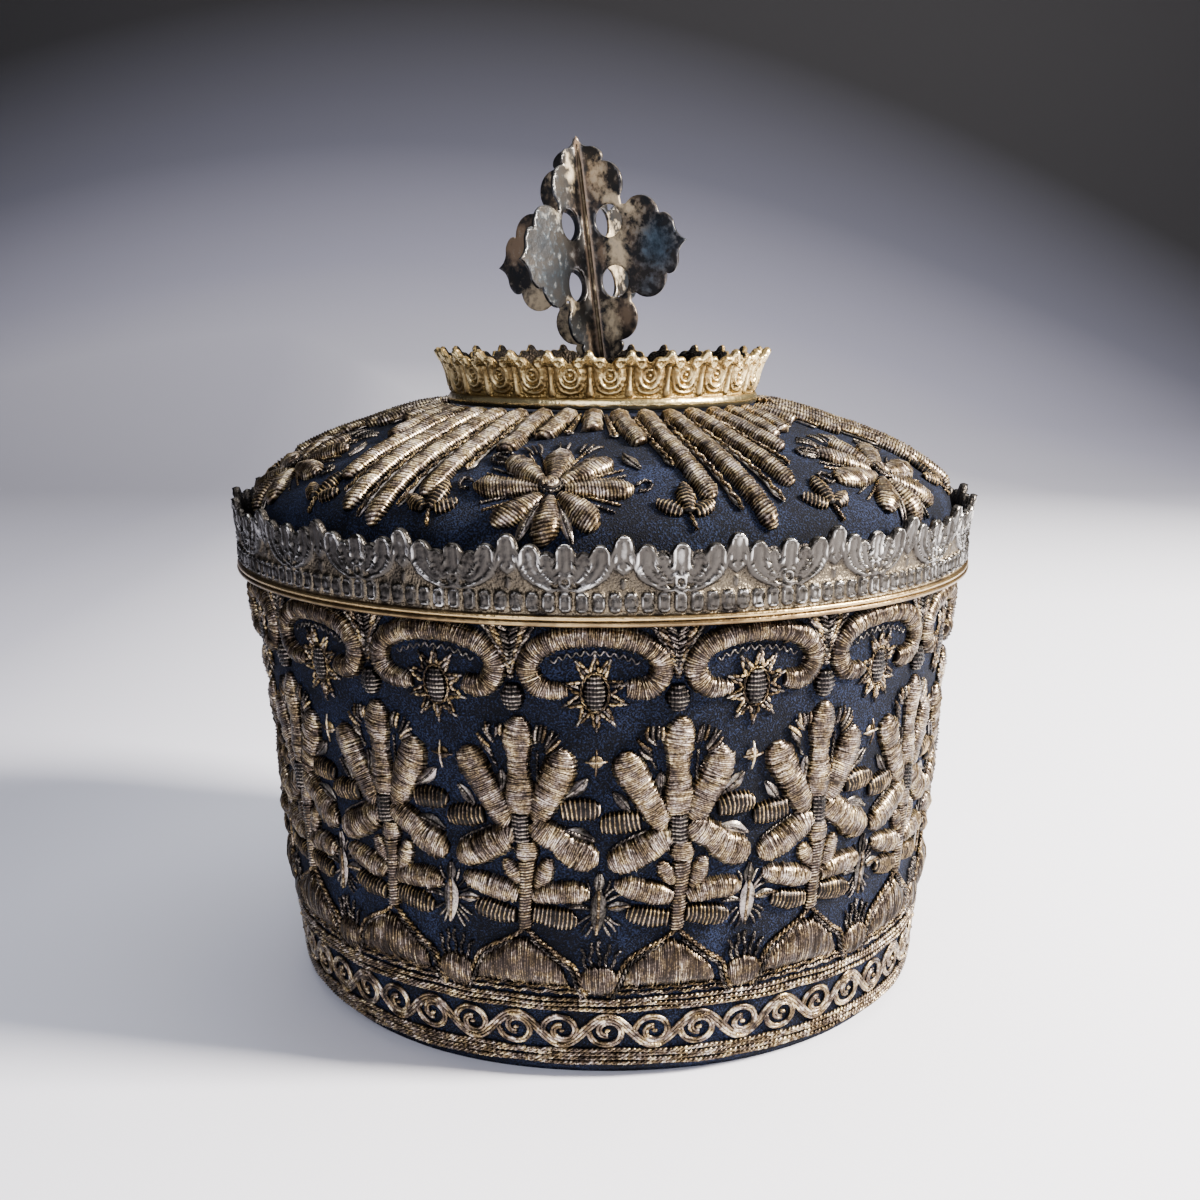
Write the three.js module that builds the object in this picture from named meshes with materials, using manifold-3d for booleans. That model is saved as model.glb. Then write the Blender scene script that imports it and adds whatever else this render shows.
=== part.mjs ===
// Liturgical crown: an embroidered cloth cap with a flat-topped wall and a low dome, a cast silver band of
// palmettes round its shoulder, a small silver coronet on top and a four-winged cross standing in it.
// Millimetres, +Z up. The origin is the middle of the hem, where the crown stands; the front faces -Y.
import * as THREE from "three";
import { mergeVertices } from "three/addons/utils/BufferGeometryUtils.js";
import Module from "manifold-3d";

// ---- Driving dimensions ----

// Outline of the cloth, from the apex over the dome and the shoulder down to the hem.
const CLOTH = [
  { r: 0, z: 182.5 },
  { r: 49.8, z: 180.5 },
  { r: 77.3, z: 173.1 },
  { r: 92.6, z: 167.2 },
  { r: 103.5, z: 160.6 },
  { r: 108.8, z: 155.6 },
  { r: 110.8, z: 149 },
  { r: 111.4, z: 138 },
  { r: 110, z: 120 },
  { r: 107, z: 90 },
  { r: 104.7, z: 55 },
  { r: 102, z: 20 },
  { r: 99.8, z: 4 },
  { r: 97.6, z: 0 },
];
const CLOTH_WALL = 3; // cloth, stiffening and backing together
const SEAM_HEIGHT = 138; // the dome meets the wall here, behind the silver band
const SEAM_GAP = 0.4;
const CAP_SIDES = 40; // facets round the cap and its rings
const INNER_STEP = 2; // the inner face goes through every second row of the outline
const LEAST_STEP = 3; // rows of the outline nearer than this to a piece's end are left out

// Slow bulges and hollows of the soft wall: azimuth and reach in degrees, height and rise in mm.
const DENTS = [
  { azimuth: -90, reach: 38, height: 80, rise: 30, push: -1.6 },
  { azimuth: -90, reach: 40, height: 120, rise: 22, push: 1.1 },
  { azimuth: 0, reach: 36, height: 0, rise: 40, push: -1.3 },
  { azimuth: 55, reach: 34, height: 0, rise: 45, push: 0.9 },
  { azimuth: 150, reach: 45, height: 60, rise: 45, push: -1.2 },
];
const HEM_OFFSET = 1.4; // the hem sits this far to +X of the band
const LEAN_TOP = 140; // and the wall is back on the axis from here up

// Embroidered pads stand off the cloth by a small gap, because each is a solid of its own.
const PAD_GAP = 0.75;
const RING_GAP = 0.5;
const PAD_RISE = 3;
const PAD_EDGE = 2;
const BAYS = 16;
const BAY_ANGLE = 360 / BAYS;
const BAY_START = -0.8; // azimuth of the middle of the first arch

// A tree's stem, from its tip to the foot of the mound under it: y up from the top of its collar.
const TREE_HEIGHT = 78; // height of the collar's top on the wall
const TREE_GAP = 1.35; // more, because its mound is wide and flat on a round wall
const STEM = [
  { y: 28.6, left: -1, right: 1.6 },
  { y: 23, left: -4.3, right: 4.4 },
  { y: 14.5, left: -3.2, right: 3.1 },
  { y: 6, left: -4.1, right: 4.1 },
  { y: -1, left: -3, right: 3 },
  { y: -7, left: -2.6, right: 3.2 },
  { y: -18, left: -1.9, right: 2.4 },
  { y: -25, left: -1.8, right: 1.9 },
  { y: -32, left: -1.7, right: 1.7 },
  { y: -48.6, left: -14.5, right: 10.9 },
];
// Lobes grow from the stem between one row and the next.
const TREE_LOBES = [
  { row: 3, side: -1, tipX: -14.6, tipY: 19.2, halfWidth: 4.6 },
  { row: 3, side: 1, tipX: 11.9, tipY: 19.8, halfWidth: 4.5 },
  { row: 4, side: -1, tipX: -18.6, tipY: -12.8, halfWidth: 4.1 },
  { row: 4, side: 1, tipX: 19.6, tipY: -11.6, halfWidth: 4.4 },
  { row: 6, side: -1, tipX: -17, tipY: -18.4, halfWidth: 3 },
  { row: 6, side: 1, tipX: 17.6, tipY: -21.2, halfWidth: 3.2 },
];
const LOBE_SHOULDER = 0.7; // how far along a lobe its greatest width lies

// Half of an arch's centreline, from the middle of its top to its curled end.
const ARCH_HEIGHT = 128.2;
const ARCH_HALF_WIDTH = 3;
const ARCH_HALF = [
  { x: 7.2, y: -0.5 },
  { x: 15.2, y: -4.1 },
  { x: 17.2, y: -11.4 },
  { x: 9.3, y: -14.3 },
];

// Flowers and rib bundles alternate round the dome.
const SECTORS = 6;
const SECTOR_ANGLE = 360 / SECTORS;
const FLOWER_START = -7.7; // azimuth of the front flower
const FLOWER_RADIUS = 98.5; // how far from the axis its middle lies
const FLOWER_HUB = 4.2;
const HUB_RISE = 4;
const PETALS = 8;
const PETAL_LENGTH = 21;
const PETAL_HALF_WIDTH = 3.3;
const FLOWER_GAP = 2.2; // more, because its petals span the bend of the shoulder
const FLOWER_FLAT = 0.86; // petals up and down the slope are this share of the ones along it

// A bundle's ribs touch each other at the coronet, part a little below it and swing as they go down.
// Each row gives a rib's end: azimuth from the bundle's middle, and radius. Bundles take the two lists in turn.
const RIB_MIDDLE = 15.9; // azimuth of the first bundle's middle
const RIB_PITCH = 7.5;
const RIB_START_RADIUS = 53.4;
const RIB_PARTING_RADIUS = 57;
const RIB_HALF_WIDTH = 2.9;
const BUNDLE_INSET = 0.2; // degrees between a bundle's outer edge and its sector's
const RIB_ENDS = [
  [
    { end: -29.4, radius: 72.5 },
    { end: -18.4, radius: 67 },
    { end: -7.9, radius: 76 },
    { end: 0.1, radius: 102.5 },
    { end: 7.6, radius: 109.7 },
    { end: 14.6, radius: 99 },
    { end: 21.1, radius: 83 },
    { end: 25.1, radius: 75 },
  ],
  [
    { end: -29.4, radius: 72 },
    { end: -18.4, radius: 67 },
    { end: -8, radius: 77 },
    { end: -1.4, radius: 99 },
    { end: 4.9, radius: 108 },
    { end: 10.6, radius: 109.7 },
    { end: 17, radius: 102.5 },
    { end: 25, radius: 81.5 },
  ],
];

// Couched rings round the foot of the wall: height, half height, how far they stand proud and the share of
// their height that is flat (a cord comes to a ridge).
const RINGS = [
  { name: "upper_hem_cord", height: 24.2, half: 1.9, rise: 2.9, flat: 0 },
  { name: "ornament_band", height: 15.4, half: 6.2, rise: 1.9, flat: 0.85 },
  { name: "lower_hem_cord", height: 6.7, half: 1.9, rise: 2.9, flat: 0 },
];

// Shoulder band: a moulding, then a sheet that flares to a cut-out edge of palmettes.
const BAND = {
  units: 25,
  phase: -4.45,
  innerFoot: { r: 112.6, z: 131.9 },
  outerFoot: { r: 116.3, z: 131.7 },
  mouldingTop: { r: 115.6, z: 134.6 },
  middle: { r: 115.5, z: 144 },
  flare: 0.143,
  wall: 1,
};
// One palmette, as shares of its width: the height of its edge and how far it is raised at mid height.
const PALMETTE = [
  { at: -0.5, edge: 155.6, raised: 0.9 },
  { at: -0.37, edge: 150.2, raised: -0.7 },
  { at: -0.2, edge: 153.4, raised: 0.8 },
  { at: 0, edge: 155.9, raised: 1.4 },
  { at: 0.2, edge: 153.4, raised: 0.8 },
  { at: 0.37, edge: 150.2, raised: -0.7 },
];

// Top coronet: the same build, smaller, with scrolls between upright leaves. It flares so much that its inside
// follows it in two steps.
const CORONET = {
  units: 27,
  phase: 2.3,
  innerFoot: { r: 46.9, z: 181.4 },
  outerFoot: { r: 48.9, z: 181.8 },
  mouldingTop: { r: 48.9, z: 185 },
  middle: { r: 49.6, z: 190.4 },
  innerMiddle: { r: 48.1, z: 189.4 },
  flare: 0.44,
  wall: 0.9,
};
const SCROLL = [
  { at: -0.5, edge: 198.6, raised: 0.7 },
  { at: -0.27, edge: 193.6, raised: -0.5 },
  { at: 0, edge: 196.2, raised: 1.3 },
  { at: 0.27, edge: 193.6, raised: -0.5 },
];

// Cross: two sheets folded lengthwise and soldered back to back, so four half crosses stand at right angles.
const CROSS = {
  centre: new THREE.Vector3(-4.5, 0, 227.4),
  lean: 6.9, // degrees towards -X
  firstWing: -33.5, // azimuth of one wing from +X
  wings: 4,
  sheet: 1,
  arm: 36,
  ogee: { u: 3.6, v: 32.5 },
  shoulder: { u: 8.9, v: 30.6 },
  lobe: { u: 8.6, v: 20.6, r: 6.8, turns: [84, 20, -40] },
  notch: 13.9,
  hole: { u: 8.8, v: 9.3, r: 5 },
  spineRadius: 1.5,
  spineTop: 32.5,
  footRadius: 7,
  footBottom: 183,
  footThickness: 1.2,
  holeSteps: 4,
  spineSides: 6,
  footSides: 10,
};

// ---- Colours ----

const FINISH = {
  cloth: { color: 0x1f2330, roughness: 0.95, metalness: 0 },
  goldThread: { color: 0xa08a63, roughness: 0.55, metalness: 0.6 },
  darkSilver: { color: 0x6a6763, roughness: 0.42, metalness: 0.9 },
  giltSilver: { color: 0xb79a57, roughness: 0.35, metalness: 0.95 },
  greySilver: { color: 0x77746f, roughness: 0.35, metalness: 0.95 },
};

// ---- The cloth as a surface ----

const { degToRad: radians, radToDeg: degrees, clamp } = THREE.MathUtils;

// Distance along the cloth's outline from the apex to each of its rows.
const ARCS = CLOTH.map(() => 0);
for (let i = 1; i < CLOTH.length; i += 1) {
  ARCS[i] = ARCS[i - 1] + Math.hypot(CLOTH[i].r - CLOTH[i - 1].r, CLOTH[i].z - CLOTH[i - 1].z);
}

// The outward direction in the r-z plane at row i: the average over the two stretches that meet there.
function rowNormal(i) {
  const before = CLOTH[Math.max(i - 1, 0)];
  const after = CLOTH[Math.min(i + 1, CLOTH.length - 1)];
  const length = Math.hypot(after.r - before.r, after.z - before.z);
  return { r: (before.z - after.z) / length, z: (after.r - before.r) / length };
}

// The outline at an arc length, with its outward direction.
function outlineAt(arc) {
  let i = 1;
  while (i < ARCS.length - 1 && ARCS[i] < arc) {
    i += 1;
  }
  const share = (arc - ARCS[i - 1]) / (ARCS[i] - ARCS[i - 1]);
  const [a, b, na, nb] = [CLOTH[i - 1], CLOTH[i], rowNormal(i - 1), rowNormal(i)];
  return {
    r: a.r + (b.r - a.r) * share,
    z: a.z + (b.z - a.z) * share,
    normalR: na.r + (nb.r - na.r) * share,
    normalZ: na.z + (nb.z - na.z) * share,
  };
}

// The arc length at which the outline passes a height, or a radius.
function arcWhere(key, value) {
  const i = CLOTH.findIndex((row, k) => k > 0 && (row[key] - value) * (CLOTH[k - 1][key] - value) <= 0);
  const share = (value - CLOTH[i - 1][key]) / (CLOTH[i][key] - CLOTH[i - 1][key]);
  return ARCS[i - 1] + share * (ARCS[i] - ARCS[i - 1]);
}

// A cosine bump: 1 at no distance, 0 from the reach on.
function bump(distance, reach) {
  return Math.abs(distance) >= reach ? 0 : 0.5 + 0.5 * Math.cos((Math.PI * distance) / reach);
}

// Places an azimuth from the front, a radius and a height, with the dents and the lean of the soft cap.
function place(azimuth, r, z) {
  let pushed = r;
  for (const dent of DENTS) {
    const turn = ((azimuth - dent.azimuth + 540) % 360) - 180;
    pushed += dent.push * bump(turn, dent.reach) * bump(z - dent.height, dent.rise);
  }
  const shift = HEM_OFFSET * Math.max(0, 1 - z / LEAN_TOP);
  const turn = radians(azimuth);
  return new THREE.Vector3(pushed * Math.sin(turn) + shift, -pushed * Math.cos(turn), z);
}

// A point lifted off the cloth, by azimuth and arc length.
function onCloth(azimuth, arc, lift) {
  const p = outlineAt(arc);
  return place(azimuth, p.r + lift * p.normalR, p.z + lift * p.normalZ);
}

// A flat frame laid on the cloth: x runs round the cap and y up it, both in mm from a point.
function clothFrame(azimuth, arc) {
  return (x, y, lift) => {
    const turn = degrees(x / outlineAt(arc - y).r);
    return onCloth(azimuth + turn, arc - y, lift);
  };
}

// ---- Ways to make a solid ----

function geometryOf(triangles) {
  return new THREE.BufferGeometry().setFromPoints(triangles);
}

// Turns a closed profile of r and z about Z, then lays it on the soft cap's dented shape.
function turned(profile, sides) {
  const points = profile.map((p) => new THREE.Vector2(p.r, p.z));
  const lathe = new THREE.LatheGeometry(points, sides).toNonIndexed();
  const position = lathe.attributes.position;
  const triangles = [];
  for (let i = 0; i < position.count; i += 1) {
    const [x, z, y] = [position.getX(i), position.getY(i), position.getZ(i)];
    const azimuth = degrees(Math.atan2(x, y));
    triangles.push(place(azimuth, Math.hypot(x, y), z));
  }
  return geometryOf(triangles);
}

// A pad from a flat mesh of polygons that share whole edges: its front is raised by each point's third
// number, its back lies at one gap off the cloth, and a wall closes every edge that only one polygon has.
function padded(polygons, frame, gap) {
  const triangles = [];
  const front = (p) => frame(p[0], p[1], gap + p[2]);
  const back = (p) => frame(p[0], p[1], gap);
  const key = (a, b) => `${a[0]},${a[1]}>${b[0]},${b[1]}`;
  const edges = new Set();
  for (const { ring } of polygons) {
    ring.forEach((p, i) => edges.add(key(p, ring[(i + 1) % ring.length])));
  }
  for (const { ring, peak } of polygons) {
    const n = ring.length;
    for (let i = 0; i < n; i += 1) {
      const [a, b] = [ring[i], ring[(i + 1) % n]];
      if (peak) {
        triangles.push(front(peak), front(a), front(b));
      } else if (i > 0 && i < n - 1) {
        triangles.push(front(ring[0]), front(a), front(b));
      }
      if (i > 0 && i < n - 1) {
        triangles.push(back(ring[0]), back(b), back(a));
      }
      if (!edges.has(key(b, a))) {
        triangles.push(front(a), back(a), back(b), front(a), back(b), front(b));
      }
    }
  }
  return geometryOf(triangles);
}

// A ring of repeated units: each column is a loop of points, from the inner foot out, up and back down.
function unitRing(form, unit) {
  const pitch = 360 / form.units;
  const columns = [];
  for (let k = 0; k < form.units; k += 1) {
    for (const { at, edge, raised } of unit) {
      const azimuth = form.phase + (k + at) * pitch;
      const { innerFoot, outerFoot, mouldingTop, middle, innerMiddle, flare, wall } = form;
      const edgeRadius = middle.r + flare * (edge - middle.z);
      const column = [
        place(azimuth, innerFoot.r, innerFoot.z),
        place(azimuth, outerFoot.r, outerFoot.z),
        place(azimuth, mouldingTop.r, mouldingTop.z),
        place(azimuth, middle.r + raised, middle.z),
        place(azimuth, edgeRadius, edge),
        place(azimuth, edgeRadius - wall, edge),
      ];
      if (innerMiddle) {
        column.push(place(azimuth, innerMiddle.r, innerMiddle.z));
      }
      columns.push(column);
    }
  }
  const triangles = [];
  columns.forEach((column, i) => {
    const next = columns[(i + 1) % columns.length];
    column.forEach((p, j) => {
      const up = (j + 1) % column.length;
      triangles.push(p, next[j], next[up], p, next[up], column[up]);
    });
  });
  return geometryOf(triangles);
}

const WELD_DISTANCE = 1e-3;
const wasm = await Module();
wasm.setup();

// A geometry whose shared corners are one vertex each; welded before it is turned, while they still agree.
function welded(geometry) {
  geometry.deleteAttribute("normal");
  geometry.deleteAttribute("uv");
  return mergeVertices(geometry, WELD_DISTANCE);
}

// One solid out of several welded, overlapping ones.
function joined(geometries) {
  const solids = geometries.map((geometry) => {
    const vertProperties = geometry.attributes.position.array;
    const triVerts = new Uint32Array(geometry.index.array);
    return new wasm.Manifold(new wasm.Mesh({ numProp: 3, vertProperties, triVerts }));
  });
  const { vertProperties, triVerts } = solids.reduce((a, b) => a.add(b)).getMesh();
  const geometry = new THREE.BufferGeometry();
  geometry.setAttribute("position", new THREE.BufferAttribute(vertProperties, 3));
  geometry.setIndex(new THREE.BufferAttribute(triVerts, 1));
  return geometry;
}

// ---- The pieces ----

const crown = new THREE.Group();

function addPiece(name, geometry, finish) {
  geometry.computeVertexNormals();
  const mesh = new THREE.Mesh(geometry, new THREE.MeshStandardMaterial(finish));
  mesh.name = name;
  crown.add(mesh);
}

// The outline between two arc lengths, set in by a depth, through every row or every few rows between.
function outlineRows(fromArc, toArc, depth, step) {
  const between = ARCS.filter((arc) => arc > fromArc + LEAST_STEP && arc < toArc - LEAST_STEP);
  const arcs = [fromArc, ...between.filter((arc, i) => i % step === 0), toArc];
  return arcs.map((arc) => {
    const p = outlineAt(arc);
    return { r: p.r - depth * p.normalR, z: p.z - depth * p.normalZ };
  });
}

// The dome and the wall are shells whose outer face follows the outline; both end square at the seam.
function addCap() {
  const seamArc = arcWhere("z", SEAM_HEIGHT);
  const hemArc = ARCS[ARCS.length - 1];
  const seamOuter = outlineAt(seamArc).r;
  const seamInner = seamOuter - CLOTH_WALL;
  const apex = CLOTH[0].z;
  const hem = CLOTH[CLOTH.length - 1];
  const dome = [
    { r: 0, z: apex - CLOTH_WALL },
    ...outlineRows(0, seamArc, CLOTH_WALL, INNER_STEP).slice(1, -1),
    { r: seamInner, z: SEAM_HEIGHT + SEAM_GAP },
    { r: seamOuter, z: SEAM_HEIGHT + SEAM_GAP },
    ...outlineRows(0, seamArc, 0, 1).slice(1, -1).reverse(),
    { r: 0, z: apex },
  ];
  addPiece("cap_dome", turned(dome, CAP_SIDES), FINISH.cloth);

  const wall = [
    { r: hem.r - CLOTH_WALL, z: 0 },
    ...outlineRows(seamArc, hemArc, 0, 1).reverse(),
    { r: seamInner, z: SEAM_HEIGHT },
    ...outlineRows(seamArc, hemArc, CLOTH_WALL, INNER_STEP).slice(1, -1),
    { r: hem.r - CLOTH_WALL, z: 0 },
  ];
  addPiece("cap_wall", turned(wall, CAP_SIDES), FINISH.cloth);
}

function addRings() {
  for (const { name, height, half, rise, flat } of RINGS) {
    const foot = outlineAt(arcWhere("z", height - half));
    const head = outlineAt(arcWhere("z", height + half));
    const face = flat > 0 ? [-flat, flat] : [0];
    const section = [
      { r: foot.r + RING_GAP, z: foot.z },
      ...face.map((share) => ({ r: (foot.r + head.r) / 2 + rise, z: height + half * share })),
      { r: head.r + RING_GAP, z: head.z },
    ];
    section.push(section[0]);
    addPiece(name, turned(section, CAP_SIDES), FINISH.goldThread);
  }
}

// A lobe widens from its root on the stem to its shoulder and closes to a blunt tip.
function lobe(lower, upper, tipX, tipY, halfWidth, side) {
  const root = [(lower[0] + upper[0]) / 2, (lower[1] + upper[1]) / 2];
  const length = Math.hypot(tipX - root[0], tipY - root[1]);
  const [dx, dy] = [(tipX - root[0]) / length, (tipY - root[1]) / length];
  const along = LOBE_SHOULDER * length;
  const at = (out, across) => [root[0] + dx * out - dy * across, root[1] + dy * out + dx * across, PAD_EDGE];
  const shoulders = [at(along, -halfWidth), at(length, 0), at(along, halfWidth)];
  const ring = side > 0 ? [lower, ...shoulders, upper] : [upper, ...shoulders, lower];
  return { ring };
}

function addTrees() {
  const polygons = [];
  const left = STEM.map((row) => [row.left, row.y, PAD_RISE]);
  const right = STEM.map((row) => [row.right, row.y, PAD_RISE]);
  for (let i = 0; i < STEM.length - 1; i += 1) {
    polygons.push({ ring: [left[i + 1], right[i + 1], right[i], left[i]] });
  }
  for (const { row, side, tipX, tipY, halfWidth } of TREE_LOBES) {
    const edge = side > 0 ? right : left;
    polygons.push(lobe(edge[row + 1], edge[row], tipX, tipY, halfWidth, side));
  }
  for (let k = 0; k < BAYS; k += 1) {
    const azimuth = BAY_START + (k + 0.5) * BAY_ANGLE;
    const frame = clothFrame(azimuth, arcWhere("z", TREE_HEIGHT));
    addPiece(`tree_${String(k + 1).padStart(2, "0")}`, padded(polygons, frame, TREE_GAP), FINISH.goldThread);
  }
}

function addArches() {
  const path = [...ARCH_HALF.map((p) => ({ x: -p.x, y: p.y })).reverse(), ...ARCH_HALF];
  const sides = path.map((p, i) => {
    const before = path[Math.max(i - 1, 0)];
    const after = path[Math.min(i + 1, path.length - 1)];
    const length = Math.hypot(after.x - before.x, after.y - before.y);
    const across = [-(after.y - before.y) / length, (after.x - before.x) / length];
    const at = (w) => [p.x + across[0] * w, p.y + across[1] * w, PAD_RISE];
    return { left: at(ARCH_HALF_WIDTH), right: at(-ARCH_HALF_WIDTH) };
  });
  const polygons = sides.slice(1).map((next, i) => ({
    ring: [sides[i].right, next.right, next.left, sides[i].left],
  }));
  for (let k = 0; k < BAYS; k += 1) {
    const frame = clothFrame(BAY_START + k * BAY_ANGLE, arcWhere("z", ARCH_HEIGHT));
    addPiece(`arch_${String(k + 1).padStart(2, "0")}`, padded(polygons, frame, PAD_GAP), FINISH.goldThread);
  }
}

function addFlowers() {
  const hub = [];
  for (let i = 0; i < PETALS; i += 1) {
    const turn = ((i + 0.5) * 2 * Math.PI) / PETALS;
    hub.push([FLOWER_HUB * Math.cos(turn), FLOWER_HUB * Math.sin(turn), PAD_EDGE]);
  }
  const polygons = [{ ring: hub, peak: [0, 0, HUB_RISE] }];
  hub.forEach((start, i) => {
    const end = hub[(i + 1) % PETALS];
    const turn = ((i + 1) * 2 * Math.PI) / PETALS;
    const reach = PETAL_LENGTH * (1 - (1 - FLOWER_FLAT) * Math.abs(Math.sin(turn)));
    polygons.push(lobe(start, end, reach * Math.cos(turn), reach * Math.sin(turn), PETAL_HALF_WIDTH, 1));
  });
  for (let k = 0; k < SECTORS; k += 1) {
    const frame = clothFrame(FLOWER_START + k * SECTOR_ANGLE, arcWhere("r", FLOWER_RADIUS));
    addPiece(`flower_${k + 1}`, padded(polygons, frame, FLOWER_GAP), FINISH.goldThread);
  }
}

function addRibs() {
  const top = arcWhere("r", RIB_START_RADIUS);
  const parting = arcWhere("r", RIB_PARTING_RADIUS);
  const across = (left, right, arc) => ({ left: [left, -arc, PAD_RISE], right: [right, -arc, PAD_RISE] });
  const patterns = RIB_ENDS.map((ends) => {
    const polygons = [];
    ends.forEach(({ end, radius }, i) => {
      const limit = (ends.length / 2) * RIB_PITCH - BUNDLE_INSET;
      const start = (i + 0.5 - ends.length / 2) * RIB_PITCH;
      const edges = [start - RIB_PITCH / 2, start + RIB_PITCH / 2].map((edge) => clamp(edge, -limit, limit));
      const endArc = arcWhere("r", radius);
      const stops = [...ARCS.filter((arc) => arc > parting + LEAST_STEP && arc < endArc - LEAST_STEP), endArc];
      const rows = [across(...edges, top), across(...edges, parting)];
      for (const arc of stops) {
        const middle = start + ((end - start) * (arc - parting)) / (endArc - parting);
        const half = degrees(RIB_HALF_WIDTH / outlineAt(arc).r);
        rows.push(across(middle - half, middle + half, arc));
      }
      for (let k = 1; k < rows.length; k += 1) {
        polygons.push({ ring: [rows[k].left, rows[k].right, rows[k - 1].right, rows[k - 1].left] });
      }
    });
    return polygons;
  });
  for (let k = 0; k < SECTORS; k += 1) {
    const middle = RIB_MIDDLE + k * SECTOR_ANGLE;
    const frame = (x, y, lift) => onCloth(middle + x, -y, lift);
    addPiece(`rib_bundle_${k + 1}`, padded(patterns[k % patterns.length], frame, PAD_GAP), FINISH.goldThread);
  }
}

// One eighth of the cross's edge: the tip of an arm, its shoulder, the round lobe and the notch.
function crossEighth() {
  const { arm, ogee, shoulder, lobe: round, notch } = CROSS;
  const arc = round.turns.map((turn) => [
    round.u + round.r * Math.cos(radians(turn)),
    round.v + round.r * Math.sin(radians(turn)),
  ]);
  return [[0, arm], [ogee.u, ogee.v], [shoulder.u, shoulder.v], ...arc, [notch, notch]];
}

// Half a cross: its arms up, out and down from the axis, with a round hole above and below the middle.
function wingShape() {
  const { hole } = CROSS;
  const edge = crossEighth();
  const upper = [...edge, ...edge.map(([u, v]) => [v, u]).reverse().slice(1)];
  const lower = upper.map(([u, v]) => [u, -v]).reverse().slice(1);
  const outline = [...upper, ...lower].reverse(); // anticlockwise, as ExtrudeGeometry turns holes to suit
  const shape = new THREE.Shape(outline.map(([u, v]) => new THREE.Vector2(u, v)));
  for (const middle of [-hole.v, hole.v]) {
    const round = new THREE.Path();
    round.absarc(hole.u, middle, hole.r, 0, 2 * Math.PI, true);
    shape.holes.push(round);
  }
  return shape;
}

function addCross() {
  const { centre, lean, firstWing, wings, sheet, holeSteps } = CROSS;
  const { spineRadius, spineSides, spineTop, footRadius, footSides, footBottom, footThickness } = CROSS;
  const shape = wingShape();
  const solids = [];
  for (let k = 0; k < wings; k += 1) {
    const options = { depth: sheet, bevelEnabled: false, curveSegments: holeSteps };
    const wing = welded(new THREE.ExtrudeGeometry(shape, options));
    wing.translate(0, 0, -sheet / 2);
    wing.rotateX(Math.PI / 2);
    wing.rotateZ(radians(firstWing + (k * 360) / wings));
    solids.push(wing);
  }
  const drop = (centre.z - footBottom) / Math.cos(radians(lean)) - footThickness / 2;
  const spine = welded(new THREE.CylinderGeometry(spineRadius, spineRadius, drop + spineTop, spineSides));
  spine.rotateX(Math.PI / 2);
  spine.translate(0, 0, (spineTop - drop) / 2);
  solids.push(spine);
  for (const solid of solids) {
    solid.rotateY(-radians(lean));
    solid.translate(centre.x, centre.y, centre.z);
  }
  const foot = welded(new THREE.CylinderGeometry(footRadius, footRadius, footThickness, footSides));
  foot.rotateX(Math.PI / 2);
  const footX = centre.x + Math.tan(radians(lean)) * (centre.z - footBottom);
  foot.translate(footX, 0, footBottom + footThickness / 2);
  solids.push(foot);
  addPiece("finial_cross", joined(solids), FINISH.greySilver);
}

addCap();
addRings();
addTrees();
addArches();
addFlowers();
addRibs();
addPiece("shoulder_band", unitRing(BAND, PALMETTE), FINISH.darkSilver);
addPiece("top_coronet", unitRing(CORONET, SCROLL), FINISH.giltSilver);
addCross();

export default crown;
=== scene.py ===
"""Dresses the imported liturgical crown: cloth cap, metal-thread embroidery, silver band, coronet and cross.

Every length below is in millimetres until a mesh is made, and every azimuth is in degrees from the front (-Y)
towards the right (+X). Embroidery is laid out flat, x to the right and y up, and wrapped round the cap.
"""

import logging
import math
from dataclasses import dataclass
from enum import Enum

import bpy
import numpy as np
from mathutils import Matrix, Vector
from mathutils.geometry import delaunay_2d_cdt

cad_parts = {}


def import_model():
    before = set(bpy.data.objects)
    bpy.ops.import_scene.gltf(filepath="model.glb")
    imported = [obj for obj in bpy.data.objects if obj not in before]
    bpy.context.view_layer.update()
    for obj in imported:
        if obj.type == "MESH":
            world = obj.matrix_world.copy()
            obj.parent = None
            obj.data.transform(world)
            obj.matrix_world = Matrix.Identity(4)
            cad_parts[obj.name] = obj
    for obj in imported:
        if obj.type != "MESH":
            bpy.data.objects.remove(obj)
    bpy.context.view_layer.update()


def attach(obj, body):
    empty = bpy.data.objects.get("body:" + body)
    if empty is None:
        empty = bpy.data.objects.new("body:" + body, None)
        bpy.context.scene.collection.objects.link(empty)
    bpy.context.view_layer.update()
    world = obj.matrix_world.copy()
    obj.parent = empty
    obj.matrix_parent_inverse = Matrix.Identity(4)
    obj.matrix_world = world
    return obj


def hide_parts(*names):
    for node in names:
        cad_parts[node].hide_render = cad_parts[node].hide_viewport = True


Array = np.ndarray
Values = np.ndarray | float
Rows = tuple[tuple[float, ...], ...]

LOG = logging.getLogger("crown")
MM = 0.001
ROOT = "root"


# ---- Small sums on arrays ----


def unit(vectors: Array) -> Array:
    """Vectors divided by their own lengths, along the last axis."""
    return vectors / np.maximum(np.linalg.norm(vectors, axis=-1, keepdims=True), 1e-9)


def oval(halves: tuple[float, float], turn: Array) -> Array:
    """The points of an oval with these half axes at angles in radians."""
    return np.stack([halves[0] * np.cos(turn), halves[1] * np.sin(turn)], 1)


def bump(distance: Array, reach: float) -> Array:
    """A cosine bump: 1 at no distance, 0 from the reach on."""
    return np.where(np.abs(distance) >= reach, 0.0, 0.5 + 0.5 * np.cos(np.pi * distance / reach))


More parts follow.
